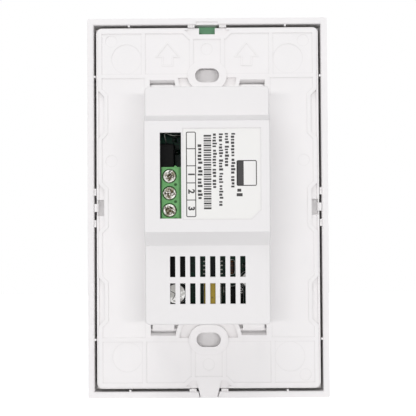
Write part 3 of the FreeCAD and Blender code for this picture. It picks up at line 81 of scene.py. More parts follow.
SOLDER = (0.80, 0.80, 0.78)
YELLOW_CASE = (0.37, 0.265, 0.020)
# Painted shade in the yellow case's vent dimple
VENT_SHADE = (0.03, 0.025, 0.02)
DULL_ALUMINIUM = (0.45, 0.44, 0.42)
BRIGHT_ALUMINIUM = (0.92, 0.91, 0.89)
BRUSHED_ALUMINIUM = (0.40, 0.39, 0.37)
# Painted shade in the grooves of the can's vent
GROOVE_SHADE = (0.10, 0.10, 0.10)
CAN_SLEEVE = (0.02, 0.022, 0.026)
CAN_STRIPE = (0.45, 0.46, 0.46)
BLUE_EPOXY = (0.045, 0.13, 0.42)
FERRITE = (0.055, 0.055, 0.06)
WINDING_TAPE = (0.62, 0.45, 0.05)
WINDING_LAP = (0.34, 0.22, 0.03)
RESISTOR_COAT = (0.045, 0.016, 0.012)
RESISTOR_ENDS = (0.20, 0.085, 0.03)
RESISTOR_BANDS = ((0.1, 0.018, 0.012), (0.012, 0.012, 0.012), (0.11, 0.04, 0.01))
CLEAR_GUIDE = (0.93, 0.95, 0.97)
LAMP_CASE = (0.86, 0.84, 0.74)
LAMP_PHOSPHOR = (0.80, 0.70, 0.28)
SHIELD_TIN = (0.74, 0.73, 0.71)
FLOOR = (0.92, 0.92, 0.92)
WORLD_LIGHT = (0.94, 0.97, 1.0)
LAMP_LIGHT = (1.0, 0.985, 0.985)

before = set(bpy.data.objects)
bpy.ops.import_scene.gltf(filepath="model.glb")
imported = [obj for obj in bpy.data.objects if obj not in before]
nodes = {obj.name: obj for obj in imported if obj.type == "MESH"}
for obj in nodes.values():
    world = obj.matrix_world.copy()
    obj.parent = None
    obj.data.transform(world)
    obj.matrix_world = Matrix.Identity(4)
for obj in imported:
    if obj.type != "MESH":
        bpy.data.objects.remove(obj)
cad_low, cad_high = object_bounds()


class Reading:
    """A socket that takes part in plain arithmetic."""

    def __init__(self, finish, socket):
        self.finish = finish
        self.socket = socket

    def math(self, operation, *others):
        """The result of a math node over this and other values."""
        return self.finish.node("ShaderNodeMath", {"operation": operation}, [self, *others])

    def __add__(self, other):
        return self.math("ADD", other)

    __radd__ = __add__

    def __sub__(self, other):
        return self.math("SUBTRACT", other)

    def __rsub__(self, other):
        return self.math("MULTIPLY", -1) + other

    def __mul__(self, other):
        return self.math("MULTIPLY", other)

    __rmul__ = __mul__

    def __truediv__(self, other):
        return self.math("DIVIDE", other)

    def __gt__(self, other):
        return self.math("GREATER_THAN", other)

    def __lt__(self, other):
        return self.math("LESS_THAN", other)

    def __abs__(self):
        return self.math("ABSOLUTE")

    def __or__(self, other):
        return self.math("MAXIMUM", other)

    def ramp(self, start, end):
        """0 at the first value, 1 at the second, held beyond them."""
        return self.finish.node("ShaderNodeMapRange", {}, [self, start, end])


class Shading:
    """A node tree under construction."""

    def __init__(self, tree):
        self.tree = tree

    def node(self, kind, settings=None, values=(), output=0):
        """Adds a node, sets it, fills its sockets by place or by name, and returns one output."""
        made = self.tree.nodes.new(kind)
        for key, value in (settings or {}).items():
            setattr(made, key, value)
        pairs = values.items() if isinstance(values, dict) else enumerate(values)
        for key, value in pairs:
            if isinstance(value, Reading):
                self.tree.links.new(value.socket, made.inputs[key])
            elif value is not None:
                made.inputs[key].default_value = value
        return Reading(self, made.outputs[output])

    def split(self, vector):
        """The three parts of a vector."""
        first = self.node("ShaderNodeSeparateXYZ", {}, [vector])
        return [Reading(self, socket) for socket in first.socket.node.outputs]

    def seen(self):
        """1 where the eye looks, straight or by way of metal or glass."""
        camera = self.node("ShaderNodeLightPath", output="Is Camera Ray")
        glossy = self.node("ShaderNodeLightPath", output="Is Glossy Ray")
        through = self.node("ShaderNodeLightPath", output="Is Transmission Ray")
        return camera | glossy | through


class Finish(Shading):
    """A material under construction: one Principled shader and what feeds it."""

    def __init__(self, name, colour=None, **constants):
        self.material = bpy.data.materials.new(name)
        self.material.use_nodes = True
        super().__init__(self.material.node_tree)
        self.shader = self.tree.nodes["Principled BSDF"]
        if colour:
            self.shader.inputs["Base Color"].default_value = (*colour, 1)
        for label, value in constants.items():
            self.shader.inputs[label.replace("_", " ")].default_value = value

    def feed(self, label, reading):
        """Drives one input of the shader."""
        self.tree.links.new(reading.socket, self.shader.inputs[label])

    def place(self):
        """Position on the piece, in metres, in the frame of the part."""
        return self.node("ShaderNodeTexCoord", output="Object")

    def toward_wall(self):
        """1 where the surface looks straight at the wall, -1 where it looks at the room."""
        _, y, _ = self.split(self.node("ShaderNodeTexCoord", output="Normal"))
        return y

    def noise(self, size, detail=2.0, offset=0.0, stretch=(1, 1, 1)):
        """Noise whose grains are about the given size, in metres."""
        drawn = self.node("ShaderNodeVectorMath", {"operation": "MULTIPLY"}, [self.place(), stretch])
        values = {"Vector": drawn, "W": offset, "Scale": 1 / size, "Detail": detail}
        return self.node("ShaderNodeTexNoise", {"noise_dimensions": "4D"}, values)

    def blend(self, factor, first, second):
        """Colour between two colours."""
        first, second = ((*c, 1) if isinstance(c, tuple) and len(c) == 3 else c for c in (first, second))
        values = {0: factor, 6: first, 7: second}
        return self.node("ShaderNodeMix", {"data_type": "RGBA"}, values, output=2)

    def shade(self, factor, colour, darker, lighter):
        """Varies a colour between two shares of itself."""
        ends = [tuple(min(1, c * share) for c in colour) for share in (darker, lighter)]
        return self.blend(factor, *ends)

    def radius(self, centre):
        """Distance from an axis through a point, along the part's depth."""
        x, _, z = self.split(self.place())
        away_x, away_z = x - centre.x, z - centre.z
        return (away_x * away_x + away_z * away_z).math("SQRT")

    def bump(self, height, depth):
        """Relief of the given depth, in metres."""
        values = {"Height": height, "Distance": depth, "Strength": 1.0}
        self.feed("Normal", self.node("ShaderNodeBump", {}, values))


def middle(name):
    """Middle of a node's box."""
    low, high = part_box(name)
    return (Vector(low) + Vector(high)) / 2


SPARK_GRAIN = 0.18 * MM
SPARK_DEPTH = 0.012 * MM
MOTTLE_SIZE = 14 * MM
MOTTLE_SHARE = 0.4
# Reach and strength of the painted shade in the white moulding's corners
CORNER_SHADE_REACH = 0.5 * MM
CORNER_SHADE_SHARE = 0.3
# Heights of the plate and the box, between which the painted shade on the box fades in
PLATE_LEVEL = 3 * MM
BOX_LEVEL = 14 * MM


def moulded_white():
    """Satin white moulding with a fine grain, painted a little darker on the box as shade, and with painted
    shade in its corners.
    """
    finish = Finish("white_moulding", IOR=1.46)
    mottle = finish.noise(MOTTLE_SIZE, 3)
    _, y, _ = finish.split(finish.place())
    # Painted shade: the box is coloured a little darker than the plate
    level = y.ramp(BOX_LEVEL, PLATE_LEVEL)
    toned_white = finish.shade(mottle * MOTTLE_SHARE + (1 - MOTTLE_SHARE) * level, WHITE_MOULDING, 0.935, 1.02)
    # Painted shade in corners and creases, where nearby faces hem the surface in
    settings = {"samples": 4, "only_local": True}
    open_sky = finish.node("ShaderNodeAmbientOcclusion", settings, {"Distance": CORNER_SHADE_REACH}, output="AO")
    corner_shading = (1 - open_sky).ramp(0.12, 0.7) * CORNER_SHADE_SHARE
    finish.feed("Base Color", finish.blend(corner_shading, toned_white, CORNER_SHADE))
    grain = finish.noise(SPARK_GRAIN, 2)
    finish.feed("Roughness", 0.44 + 0.14 * grain)
    finish.bump(grain, SPARK_DEPTH)
    return finish.material


def printed_film():
    """Matt off-white label stock with a little tooth."""
    finish = Finish("label_stock", IOR=1.45)
    tooth = finish.noise(0.12 * MM, 2)
    cloud = finish.noise(6 * MM, 2, offset=3.0)
    finish.feed("Base Color", finish.shade(cloud, LABEL_STOCK, 0.985, 1.01))
    finish.feed("Roughness", 0.42 + 0.2 * tooth)
    finish.bump(tooth, 0.006 * MM)
    return finish.material


def printing_ink(name, colour):
    """Printed ink, paler where it is thin."""
    finish = Finish(name, IOR=1.45)
    patchy = finish.noise(0.15 * MM, 3)
    thin = tuple(part * 1.6 + 0.02 for part in colour)
    finish.feed("Base Color", finish.blend(patchy.ramp(0.35, 0.7), colour, thin))
    finish.feed("Roughness", 0.38 + 0.2 * patchy)
    return finish.material


RING_INNER = 8.4 * MM
RING_OUTER = 10.0 * MM
RING_BLUR = 0.15 * MM
RING_SHARE = 0.55
LAMP_DOT_RADIUS = 0.9 * MM
LAMP_DOT_SHARE = 0.8


def back_painted_glass():
    """Polished glass over white paint, with a faint ring and dot over the light guide and greenish edges."""
    finish = Finish("back_painted_glass", IOR=1.52, Coat_Weight=0.6, Coat_Roughness=0.02)
    centre = middle("light_guide")
    out = finish.radius(centre)
    ring = out.ramp(RING_INNER - RING_BLUR, RING_INNER) * out.ramp(RING_OUTER + RING_BLUR, RING_OUTER)
    dot = out.ramp(LAMP_DOT_RADIUS + RING_BLUR, LAMP_DOT_RADIUS)
    front = (finish.toward_wall() * -1).ramp(0.6, 0.9)
    milky = finish.noise(30 * MM, 2)
    painted = finish.shade(milky, GLASS_PAINT, 0.99, 1.01)
    marked = finish.blend((ring | dot * LAMP_DOT_SHARE) * RING_SHARE, painted, GLASS_MARKS)
    finish.feed("Base Color", finish.blend(front, GLASS_EDGE, marked))
    finish.feed("Roughness", 0.04 + 0.05 * finish.noise(9 * MM, 4, offset=5.0) + 0.3 * (1 - front))
    finish.bump(finish.noise(25 * MM, 1, offset=9.0), 0.02 * MM)
    return finish.material


FOAM_CELL = 0.25 * MM


def foam_tape():
    """Closed-cell foam, cut at its edges."""
    finish = Finish("foam_tape", Roughness=0.9)
    cells = finish.node("ShaderNodeTexVoronoi", {}, {"Vector": finish.place(), "Scale": 1 / FOAM_CELL})
    finish.feed("Base Color", finish.blend(cells, FOAM_CELLS, FOAM_WALLS))
    finish.bump(cells, 0.06 * MM)
    return finish.material


TRACK_PITCH = 0.9 * MM
TRACK_RUN = 4.2 * MM
TRACK_STAGGER = 0.37
TRACK_HALF = 0.2
COPPER_THICKNESS = 0.035 * MM
POURED_ABOVE = 0.56


def tracks(finish, across, along, share):
    """Copper tracks in lanes, each lane laid here and bare there."""
    lane = (across / TRACK_PITCH).math("FLOOR")
    stretch = (along / TRACK_RUN + TRACK_STAGGER * lane).math("FLOOR")
    cell = finish.node("ShaderNodeCombineXYZ", {}, [lane, stretch])
    laid = finish.node("ShaderNodeTexWhiteNoise", {"noise_dimensions": "2D"}, {"Vector": cell}) < share
    inside = abs((across / TRACK_PITCH).math("FRACT") - 0.5) < TRACK_HALF
    return laid * inside


def solder_mask(name, bare, over_copper, share=0.45):
    """Glossy lacquer over laminate, lighter and raised where copper runs under it."""
    finish = Finish(name, IOR=1.5, Specular_IOR_Level=0.35)
    x, _, z = finish.split(finish.place())
    poured = finish.noise(9 * MM, 1, offset=2.0) > POURED_ABOVE
    copper = tracks(finish, x, z, share) | tracks(finish, z, x, share * 0.8) | poured
    cloud = finish.noise(3 * MM, 3)
    edge = 1 - abs(finish.toward_wall()).ramp(0.5, 0.8)
    lacquer = finish.blend(copper, bare, over_copper)
    weave = finish.noise(0.3 * MM, 1, stretch=(1, 1, 4))
    cut = finish.shade(weave, CUT_LAMINATE, 0.8, 1.1)
    finish.feed("Base Color", finish.blend(edge, lacquer, cut))
    finish.feed("Roughness", 0.22 + 0.2 * cloud + 0.35 * edge)
    finish.bump(copper, COPPER_THICKNESS)
    return finish.material


BLOCK_PAD_HALF = 2.42 * MM
BLOCK_PAD_OFFSET = 0.3 * MM
BLOCK_PAD_EDGE = 0.12 * MM
BLOCK_PAD_DEPTH = 0.06 * MM
BLOCK_PAD_SHADOW = 0.36
POLE_MARK_X = 9.4 * MM
POLE_MARK_RADIUS = 0.5 * MM
POLE_MARK_SHADOW = 0.6


def moulded_polyamide():
    """Dull green polyamide with pale stress marks, and painted shade beside its raised pad and between its
    poles.
    """
    finish = Finish("green_polyamide", IOR=1.53, Specular_IOR_Level=0.35)
    bloom = finish.noise(1.6 * MM, 4)
    skin = finish.noise(0.14 * MM, 2, offset=4.0)
    moulded = finish.blend(bloom.ramp(0.3, 0.8), POLYAMIDE, PALE_POLYAMIDE)
    x, _, z = finish.split(finish.place())
    top = finish.toward_wall() > 0.5
    screws = [middle(f"terminal_screw_{i}") for i in POLES]
    off_pad = abs(x - screws[0].x + BLOCK_PAD_OFFSET)
    pad = off_pad.ramp(BLOCK_PAD_HALF, BLOCK_PAD_HALF + BLOCK_PAD_EDGE)
    between = [Vector((POLE_MARK_X, 0, (a.z + b.z) / 2)) for a, b in zip(screws, screws[1:])]
    marks = reduce(or_, [finish.radius(place).ramp(POLE_MARK_RADIUS, 0.8 * POLE_MARK_RADIUS)
                         for place in between])
    # Painted shade beside the raised pad and at the low marks between the poles
    shaded = (pad * BLOCK_PAD_SHADOW | marks * POLE_MARK_SHADOW) * top
    finish.feed("Base Color", finish.blend(shaded, moulded, POLYAMIDE_SHADOW))
    finish.feed("Roughness", 0.4 + 0.24 * skin)
    finish.bump(skin * 0.2 + (1 - pad) * (1 - marks), BLOCK_PAD_DEPTH)
    return finish.material


DUST_SHARE = 0.25


def black_moulding(name, colour=BLACK_PLASTIC, roughness=0.38):
    """Black moulded case, satin, with a little dust."""
    finish = Finish(name, IOR=1.5, Specular_IOR_Level=0.22)
    skin = finish.noise(0.16 * MM, 2)
    dust = finish.noise(2.2 * MM, 5, offset=7.0).ramp(0.52, 0.85)
    finish.feed("Base Color", finish.blend(dust * DUST_SHARE, colour, DUST))
    finish.feed("Roughness", roughness + 0.2 * skin + 0.2 * dust)
    finish.bump(skin, 0.008 * MM)
    return finish.material


CHIP_HALF_BODY = 1.95 * MM
DIMPLE_INSET_X = 0.6 * MM
DIMPLE_INSET_Z = 0.9 * MM
DIMPLE_RADIUS = 0.3 * MM
DIMPLE_FLOOR = 0.22 * MM


def leaded_body(node):
    """Black epoxy body with tinned leads at both sides and a dimple at its first lead."""
    finish = Finish(node + "_body", IOR=1.5)
    centre = middle(node)
    x, _, z = finish.split(finish.place())
    lead = abs(x - centre.x) > CHIP_HALF_BODY
    skin = finish.noise(0.1 * MM, 3)
    _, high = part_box(node)
    corner = Vector((centre.x + CHIP_HALF_BODY - DIMPLE_INSET_X, 0, high[2] - DIMPLE_INSET_Z))
    dimple = finish.radius(corner).ramp(DIMPLE_RADIUS, DIMPLE_FLOOR)
    resin = finish.blend(dimple, finish.shade(skin, CHIP_RESIN, 0.7, 1.4), CHIP_DIMPLE)
    finish.feed("Base Color", finish.blend(lead, resin, CHIP_LEADS))
    finish.feed("Metallic", lead)
    finish.feed("Roughness", 0.5 - 0.2 * lead + 0.15 * skin)
    finish.bump(skin, 0.006 * MM)
    return finish.material


def nickel_plate(name, tint, worn):
    """Bright nickel with fine drawing marks and a few dull patches."""
    finish = Finish(name, Metallic=1.0)
    dull = finish.noise(0.7 * MM, 4)
    marks = finish.noise(0.09 * MM, 2, offset=6.0, stretch=(1, 1, 7))
    finish.feed("Base Color", finish.shade(dull, tint, 1 - worn, 1.12))
    finish.feed("Roughness", 0.16 + 0.22 * dull + 0.08 * marks)
    finish.bump(marks, 0.004 * MM)
    return finish.material


# Where the residue starts and where it is full: below the crown, and in from the rim
RESIDUE_DEPTH = (0.06 * MM, 0.4 * MM)
RESIDUE_RADIUS = (1.6 * MM, 1.1 * MM)
RESIDUE_HEIGHT = 0.16 * MM
SEED_PER_METRE = 1300


def clamp_screw_plate(node):
    """Scuffed nickel on a clamp screw, with brown residue in its recess and flecks of it round about."""
    finish = Finish(node + "_plate")
    centre = middle(node)
    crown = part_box(node)[1][1]
    seed = centre.z * SEED_PER_METRE
    _, y, _ = finish.split(finish.place())
    deep = (crown - y).ramp(*RESIDUE_DEPTH)
    patches = finish.noise(1.5 * MM, 2, offset=seed)
    flecks = finish.noise(0.5 * MM, 3, offset=seed + 5)
    grit = finish.noise(0.16 * MM, 2, offset=seed + 9)
    worn = finish.radius(centre).ramp(*RESIDUE_RADIUS)
    stain = (flecks.ramp(0.44, 0.50) * (0.15 + 0.85 * worn + 0.5 * deep)).math("MINIMUM", 0.98)
    plate = finish.blend(patches.ramp(0.42, 0.56), DULL_SCREW, BRIGHT_SCREW)
    residue = finish.blend(grit.ramp(0.48, 0.6), DARK_RESIDUE, BROWN_RESIDUE)
    finish.feed("Base Color", finish.blend(stain, plate, residue))
    finish.feed("Metallic", 1 - 0.6 * stain)
    finish.feed("Roughness", 0.16 + 0.2 * grit + 0.4 * stain)
    finish.bump(flecks * 0.8 + grit * 0.2, RESIDUE_HEIGHT)
    return finish.material


def gold_flash():
    """Thin gold on contact pins."""
    finish = Finish("gold_flash", Metallic=1.0)
    cloud = finish.noise(0.6 * MM, 3)
    finish.feed("Base Color", finish.shade(cloud, GOLD, 0.85, 1.1))
    finish.feed("Roughness", 0.18 + 0.2 * cloud)
    return finish.material


def solder():
    """Bright solder, grainy at its rim."""
    finish = Finish("solder", Metallic=1.0)
    grain = finish.noise(0.2 * MM, 3)
    finish.feed("Base Color", finish.shade(grain, SOLDER, 0.8, 1.1))
    finish.feed("Roughness", 0.2 + 0.25 * grain)
    finish.bump(grain, 0.02 * MM)
    return finish.material


VENT_INSET = 5.0 * MM
VENT_RADIUS = 0.34 * MM
VENT_FLOOR = 0.26 * MM


def capacitor_case():
    """Yellow moulded case, glossy, with painted shade in a vent dimple near one end of its top."""
    finish = Finish("yellow_case", IOR=1.5)
    low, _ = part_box("film_capacitor")
    cloud = finish.noise(2.4 * MM, 3)
    dimple = Vector((middle("film_capacitor").x, 0, low[2] + VENT_INSET))
    # Painted shade in the vent dimple on the top
    vent_shade = finish.radius(dimple).ramp(VENT_RADIUS, VENT_FLOOR) * (finish.toward_wall() > 0.5)
    case = finish.shade(cloud, YELLOW_CASE, 0.85, 1.08)
    finish.feed("Base Color", finish.blend(vent_shade * 0.5, case, VENT_SHADE))
    finish.feed("Roughness", 0.22 + 0.2 * cloud)
    finish.bump(cloud, 0.03 * MM)
    return finish.material


CAN_GROOVES = 2
GROOVE_TURN = 0.5
GROOVE_HALF = (0.11 * MM, 0.05 * MM)
GROOVE_REACH = 0.62
GROOVE_DEPTH = 0.12 * MM
SLEEVE_STRIPE = 0.72


def can_and_sleeve(node, bare_share):
    """Aluminium can in a dark sleeve; its top is bare to a share of its radius and crossed by its vent,
    whose grooves carry painted shade.
    """
    finish = Finish(node + "_can", IOR=1.5)
    low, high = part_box(node)
    centre = middle(node)
    out = finish.radius(centre)
    rim = (high[0] - low[0]) / 2
    x, _, z = finish.split(finish.place())
    top = (finish.toward_wall() > 0.3) * (out < rim * bare_share)
    turns = [math.pi * i / CAN_GROOVES + GROOVE_TURN for i in range(CAN_GROOVES)]
    off = [abs((x - centre.x) * math.cos(turn) + (z - centre.z) * math.sin(turn)) for turn in turns]
    groove = reduce(or_, [away.ramp(*GROOVE_HALF) for away in off]) * (out < rim * GROOVE_REACH)
    brushed = finish.noise(0.8 * MM, 4, stretch=(1, 1, 3))
    smear = finish.noise(1.7 * MM, 2, offset=12.0).ramp(0.44, 0.56)
    metal = finish.blend(smear, DULL_ALUMINIUM, BRIGHT_ALUMINIUM)
    metal = finish.blend(brushed.ramp(0.48, 0.58) * 0.5, metal, BRUSHED_ALUMINIUM)
    # Painted shade in the vent's grooves
    bare = finish.blend(groove, metal, GROOVE_SHADE)
    stripe = (x - centre.x) > rim * SLEEVE_STRIPE
    sleeve = finish.blend(stripe, CAN_SLEEVE, CAN_STRIPE)
    finish.feed("Base Color", finish.blend(top, sleeve, bare))
    finish.feed("Metallic", top)
    finish.feed("Roughness", 0.28 + 0.15 * brushed)
    finish.bump(1 - groove, GROOVE_DEPTH)
    return finish.material


def dipped_coat():
    """Blue dipped epoxy, thick and slightly wavy."""
    finish = Finish("dipped_coat", IOR=1.53)
    wave = finish.noise(1.1 * MM, 2)
    finish.feed("Base Color", finish.shade(wave, BLUE_EPOXY, 0.8, 1.15))
    finish.feed("Roughness", 0.18 + 0.15 * wave)
    finish.bump(wave, 0.08 * MM)
    return finish.material


def sintered_ferrite():
    """Dark grey ferrite with small pits."""
    finish = Finish("ferrite", IOR=1.7)
    pits = finish.noise(0.22 * MM, 4)
    finish.feed("Base Color", finish.shade(pits, FERRITE, 0.6, 1.3))
    finish.feed("Roughness", 0.45 + 0.3 * pits)
    finish.bump(pits, 0.02 * MM)
    return finish.material


TAPE_LAP = 1.3 * MM


def wound_tape():
    """Yellow polyester tape in overlapping turns over a winding."""
    finish = Finish("winding_tape", IOR=1.5)
    _, y, _ = finish.split(finish.place())
    lap = (y / TAPE_LAP).math("FRACT")
    film = finish.shade(finish.noise(0.8 * MM, 2), WINDING_TAPE, 0.85, 1.1)
    finish.feed("Base Color", finish.blend(lap.ramp(0.9, 1.0), film, WINDING_LAP))
    finish.feed("Roughness", 0.16 + 0.15 * lap)
    finish.bump(lap, 0.06 * MM)
    return finish.material


BAND_PLACES = (-0.45, -0.1, 0.25)
BAND_HALF = 0.08
BODY_SHARE = 0.8


def banded_resistor():
    """Brown lacquered body with coloured bands and orange-brown ends."""
    finish = Finish("banded_resistor", IOR=1.5)
    centre = middle("snubber_resistor")
    low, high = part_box("snubber_resistor")
    half = (high[2] - low[2]) / 2
    _, _, z = finish.split(finish.place())
    along = (z - centre.z) / half
    coat = finish.shade(finish.noise(0.3 * MM, 3), RESISTOR_COAT, 0.7, 1.25)
    for at, colour in zip(BAND_PLACES, RESISTOR_BANDS):
        coat = finish.blend(abs(along - at) < BAND_HALF, coat, colour)
    finish.feed("Base Color", finish.blend(abs(along) > BODY_SHARE, coat, RESISTOR_ENDS))
    finish.feed("Roughness", 0.25 + 0.1 * finish.noise(0.4 * MM, 2, offset=1.0))
    return finish.material


def frosted_guide():
    """Clear moulding with a frosted skin."""
    finish = Finish("frosted_guide", colour=CLEAR_GUIDE, IOR=1.49, Transmission_Weight=0.85)
    frost = finish.noise(0.12 * MM, 2)
    finish.feed("Roughness", 0.28 + 0.2 * frost)
    finish.bump(frost, 0.01 * MM)
    return finish.material


def lamp_package():
    """Small lamp: white case with a yellow phosphor window."""
    finish = Finish("lamp_package", IOR=1.5, Roughness=0.4)
    grain = finish.noise(0.2 * MM, 2)
    finish.feed("Base Color", finish.blend(grain.ramp(0.4, 0.6), LAMP_CASE, LAMP_PHOSPHOR))
    return finish.material


def drawn_shield():
    """Tinned sheet pressed into a can, with rolling marks."""
    finish = Finish("drawn_shield", Metallic=1.0)
    rolled = finish.noise(0.1 * MM, 2, stretch=(1, 1, 12))
    stain = finish.noise(3 * MM, 3, offset=8.0)
    finish.feed("Base Color", finish.shade(stain, SHIELD_TIN, 0.85, 1.06))
    finish.feed("Roughness", 0.26 + 0.14 * rolled + 0.1 * stain)
    finish.bump(rolled, 0.004 * MM)
    return finish.material


def coat_nodes():
    """Gives each node of the model its finish."""
    white = moulded_white()
    nickel = nickel_plate("bright_nickel", NICKEL, 0.25)
    tin = nickel_plate("tinned_copper", TIN, 0.18)
    mask = solder_mask("dark_mask", DARK_MASK, DARK_MASK_ON_COPPER)
    black = black_moulding("black_moulding")
    finish_of = {
        "rating_label": printed_film(),
        "power_board": mask,
        "radio_board": mask,
        "touch_board": solder_mask("green_mask", GREEN_MASK, GREEN_MASK_ON_COPPER, 0.6),
        "board_screws": nickel,
        "touch_board_screws": nickel,
        "touch_spring": nickel,
        "terminal_block": moulded_polyamide(),
        "terminal_contacts": tin,
        "fuse": black_moulding("fuse_case", FUSE_PLASTIC, 0.34),
        "relay": black,
        "board_socket": black,
        "header_body": black,
        "header_pins": gold_flash(),
        "film_capacitor": capacitor_case(),
        "large_electrolytic": can_and_sleeve("large_electrolytic", 0.9),
        "small_electrolytic": can_and_sleeve("small_electrolytic", 1.1),
        "varistor": dipped_coat(),
        "transformer_core": sintered_ferrite(),
        "transformer_winding": wound_tape(),
        "rectifier": black,
        "power_transistor": black_moulding("transistor_case", TRANSISTOR_RESIN, 0.42),
        "driver_chip": leaded_body("driver_chip"),
        "touch_chip": leaded_body("touch_chip"),
        "snubber_resistor": banded_resistor(),
        "glass_panel": back_painted_glass(),
        "glass_tape": foam_tape(),
        "light_guide": frosted_guide(),
        "status_lamps": lamp_package(),
        "radio_shield": drawn_shield(),
    }
    for i in POLES:
        finish_of[f"terminal_screw_{i}"] = clamp_screw_plate(f"terminal_screw_{i}")
        finish_of[f"clamp_cage_{i}"] = tin
    for name, piece in nodes.items():
        piece.data.materials.clear()
        piece.data.materials.append(finish_of.get(name, white))


SHELLS = ("rear_housing", "bezel_frame", "inner_cover", "panel_back_cover")
SHELL_ROUNDING = 0.05 * MM
BLOCKS = ("terminal_block", "relay", "fuse", "rectifier", "power_transistor", "film_capacitor")
BLOCK_ROUNDING = 0.18 * MM
ROUNDING_STEPS = 2
WELD_REACH = 0.001 * MM
FLAT_LIMIT = math.radians(0.3)
EDGE_LIMIT = math.radians(40)


def soften(name, width):
    """Rounds the edges of a moulding, once the triangles of its flat faces are joined."""
    piece = nodes[name]
    weld = piece.modifiers.new("weld", "WELD")
    weld.merge_threshold = WELD_REACH
    flat = piece.modifiers.new("flat", "DECIMATE")
    flat.decimate_type = "DISSOLVE"
    flat.angle_limit = FLAT_LIMIT
    round_off = piece.modifiers.new("round_off", "BEVEL")
    round_off.width = width
    round_off.segments = ROUNDING_STEPS
    round_off.limit_method = "ANGLE"
    round_off.angle_limit = EDGE_LIMIT
    round_off.harden_normals = True
    even = piece.modifiers.new("even", "TRIANGULATE")
    even.keep_custom_normals = True


def add_piece(name, mesh, body, finish):
    """Makes a piece of a mesh and its finish, and lets it ride on a body."""
    piece = bpy.data.objects.new(name, mesh)
    bpy.context.scene.collection.objects.link(piece)
    mesh.materials.clear()
    mesh.materials.append(finish)
    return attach(piece, body)


INK_RISE = 0.01 * MM
INK_SUNK = 0.02 * MM
RING_CORNERS = 40
CORNER_STEPS = 6


class Print:
    """Thin closed shapes of ink on a face that looks along +Y."""

    def __init__(self, level):
        self.mesh = bmesh.new()
        self.level = level

    def bar(self, x0, x1, z0, z1):
        """A filled rectangle."""
        corners = ((x0, z0), (x0, z1), (x1, z1), (x1, z0))
        top = [self.mesh.verts.new((x, self.level + INK_RISE, z)) for x, z in corners]
        low = [self.mesh.verts.new((x, self.level - INK_SUNK, z)) for x, z in corners]
        self.mesh.faces.new(top)
        self.mesh.faces.new(low[::-1])
        for i, corner in enumerate(top):
            after = (i + 1) % len(top)
            self.mesh.faces.new((top[after], corner, low[i], low[after]))

    def loop(self, outer, inner):
        """The band between two outlines with as many corners."""
        top, low = self.level + INK_RISE, self.level - INK_SUNK
        rows = [[self.mesh.verts.new((x, level, z)) for x, z in shape]
                for level, shape in ((top, outer), (top, inner), (low, inner), (low, outer))]
        count = len(outer)
        for here, there in zip(rows, rows[1:] + rows[:1]):
            for i in range(count):
                after = (i + 1) % count
                self.mesh.faces.new((here[i], here[after], there[after], there[i]))

    def ring(self, x, z, radius, line):
        """Outline of a circle."""
        turns = [2 * math.pi * i / RING_CORNERS for i in range(RING_CORNERS)]
        outer, inner = ([(x + r * math.sin(a), z + r * math.cos(a)) for a in turns]
                        for r in (radius, radius - line))
        self.loop(outer, inner)

    def frame(self, x0, x1, z0, z1, radius, line):
        """Outline of a rounded rectangle."""
        self.loop(*(rounded(x0 + inset, x1 - inset, z0 + inset, z1 - inset, radius - inset)
                    for inset in (0, line)))

    def to_piece(self, name, body, material):
        """Turns the shapes into one piece."""
        bmesh.ops.recalc_face_normals(self.mesh, faces=self.mesh.faces[:])
        mesh = bpy.data.meshes.new(name)
        self.mesh.to_mesh(mesh)
        self.mesh.free()
        return add_piece(name, mesh, body, material)


def rounded(x0, x1, z0, z1, radius):
    """Corners of a rounded rectangle, as (x, z)."""
    centres = ((x1 - radius, z1 - radius, 0), (x1 - radius, z0 + radius, 1),
               (x0 + radius, z0 + radius, 2), (x0 + radius, z1 - radius, 3))
    corners = []
    for x, z, quarter in centres:
        for i in range(CORNER_STEPS + 1):
            turn = math.pi / 2 * (quarter + i / CORNER_STEPS)
            corners.append((x + radius * math.sin(turn), z + radius * math.cos(turn)))
    return corners


label_high = Vector(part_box("rating_label")[1])

# Print on the label: its left, right, top and bottom are measured from the label's upper left corner
TABLE_LEFT = 0.7 * MM
TABLE_RIGHT = 3.65 * MM
TABLE_TOP = 0.82 * MM
TABLE_BOTTOM = 26.1 * MM
TABLE_ROWS = 5
TABLE_CORNER = 0.5 * MM
RULE_LINE = 0.27 * MM
NUMBER_SIZE = 2.55 * MM
NUMBER_WEIGHT = 0.11 * MM
BLANK_ROWS = 2
STRIPES_LEFT = 5.93 * MM
STRIPES_RIGHT = 8.15 * MM
STRIPES_TOP = 1.8 * MM
STRIPES_BOTTOM = 23.3 * MM
STRIPE_WIDTHS = (0.55 * MM, 0.28 * MM)
STRIPE_SPACE = 0.3 * MM
FIELD_LEFT = 15.62 * MM
FIELD_RIGHT = 21.6 * MM
FIELD_TOP = 9.35 * MM
FIELD_BOTTOM = 16.95 * MM
FIELD_STRIP = 2.1 * MM

# Greeked lines: left, height, top and bottom of each
GREEKED_LINES = (
    (4.15 * MM, 1.40 * MM, 4.6 * MM, 20.9 * MM),
    (8.55 * MM, 1.30 * MM, 1.4 * MM, 18.6 * MM),
    (10.45 * MM, 1.20 * MM, 1.4 * MM, 23.2 * MM),
    (12.20 * MM, 1.20 * MM, 1.3 * MM, 11.9 * MM),
    (14.00 * MM, 1.25 * MM, 1.3 * MM, 17.4 * MM),
    (15.60 * MM, 1.75 * MM, 17.8 * MM, 20.6 * MM),
)
GREEK_SEED = 11
GREEK_GROUP = (3, 8)
GREEK_WIDTHS = (0.38, 0.58)
GREEK_STARTS = (0.0, 0.0, 0.12)
GREEK_ENDS = (0.78, 0.78, 1.0)
GREEK_SPACE = 0.24
GREEK_GROUP_SPACE = 0.35


def on_label(left, top):
    """A place on the label, from its upper left corner as the camera sees it."""
    return label_high.x - left, label_high.z - top


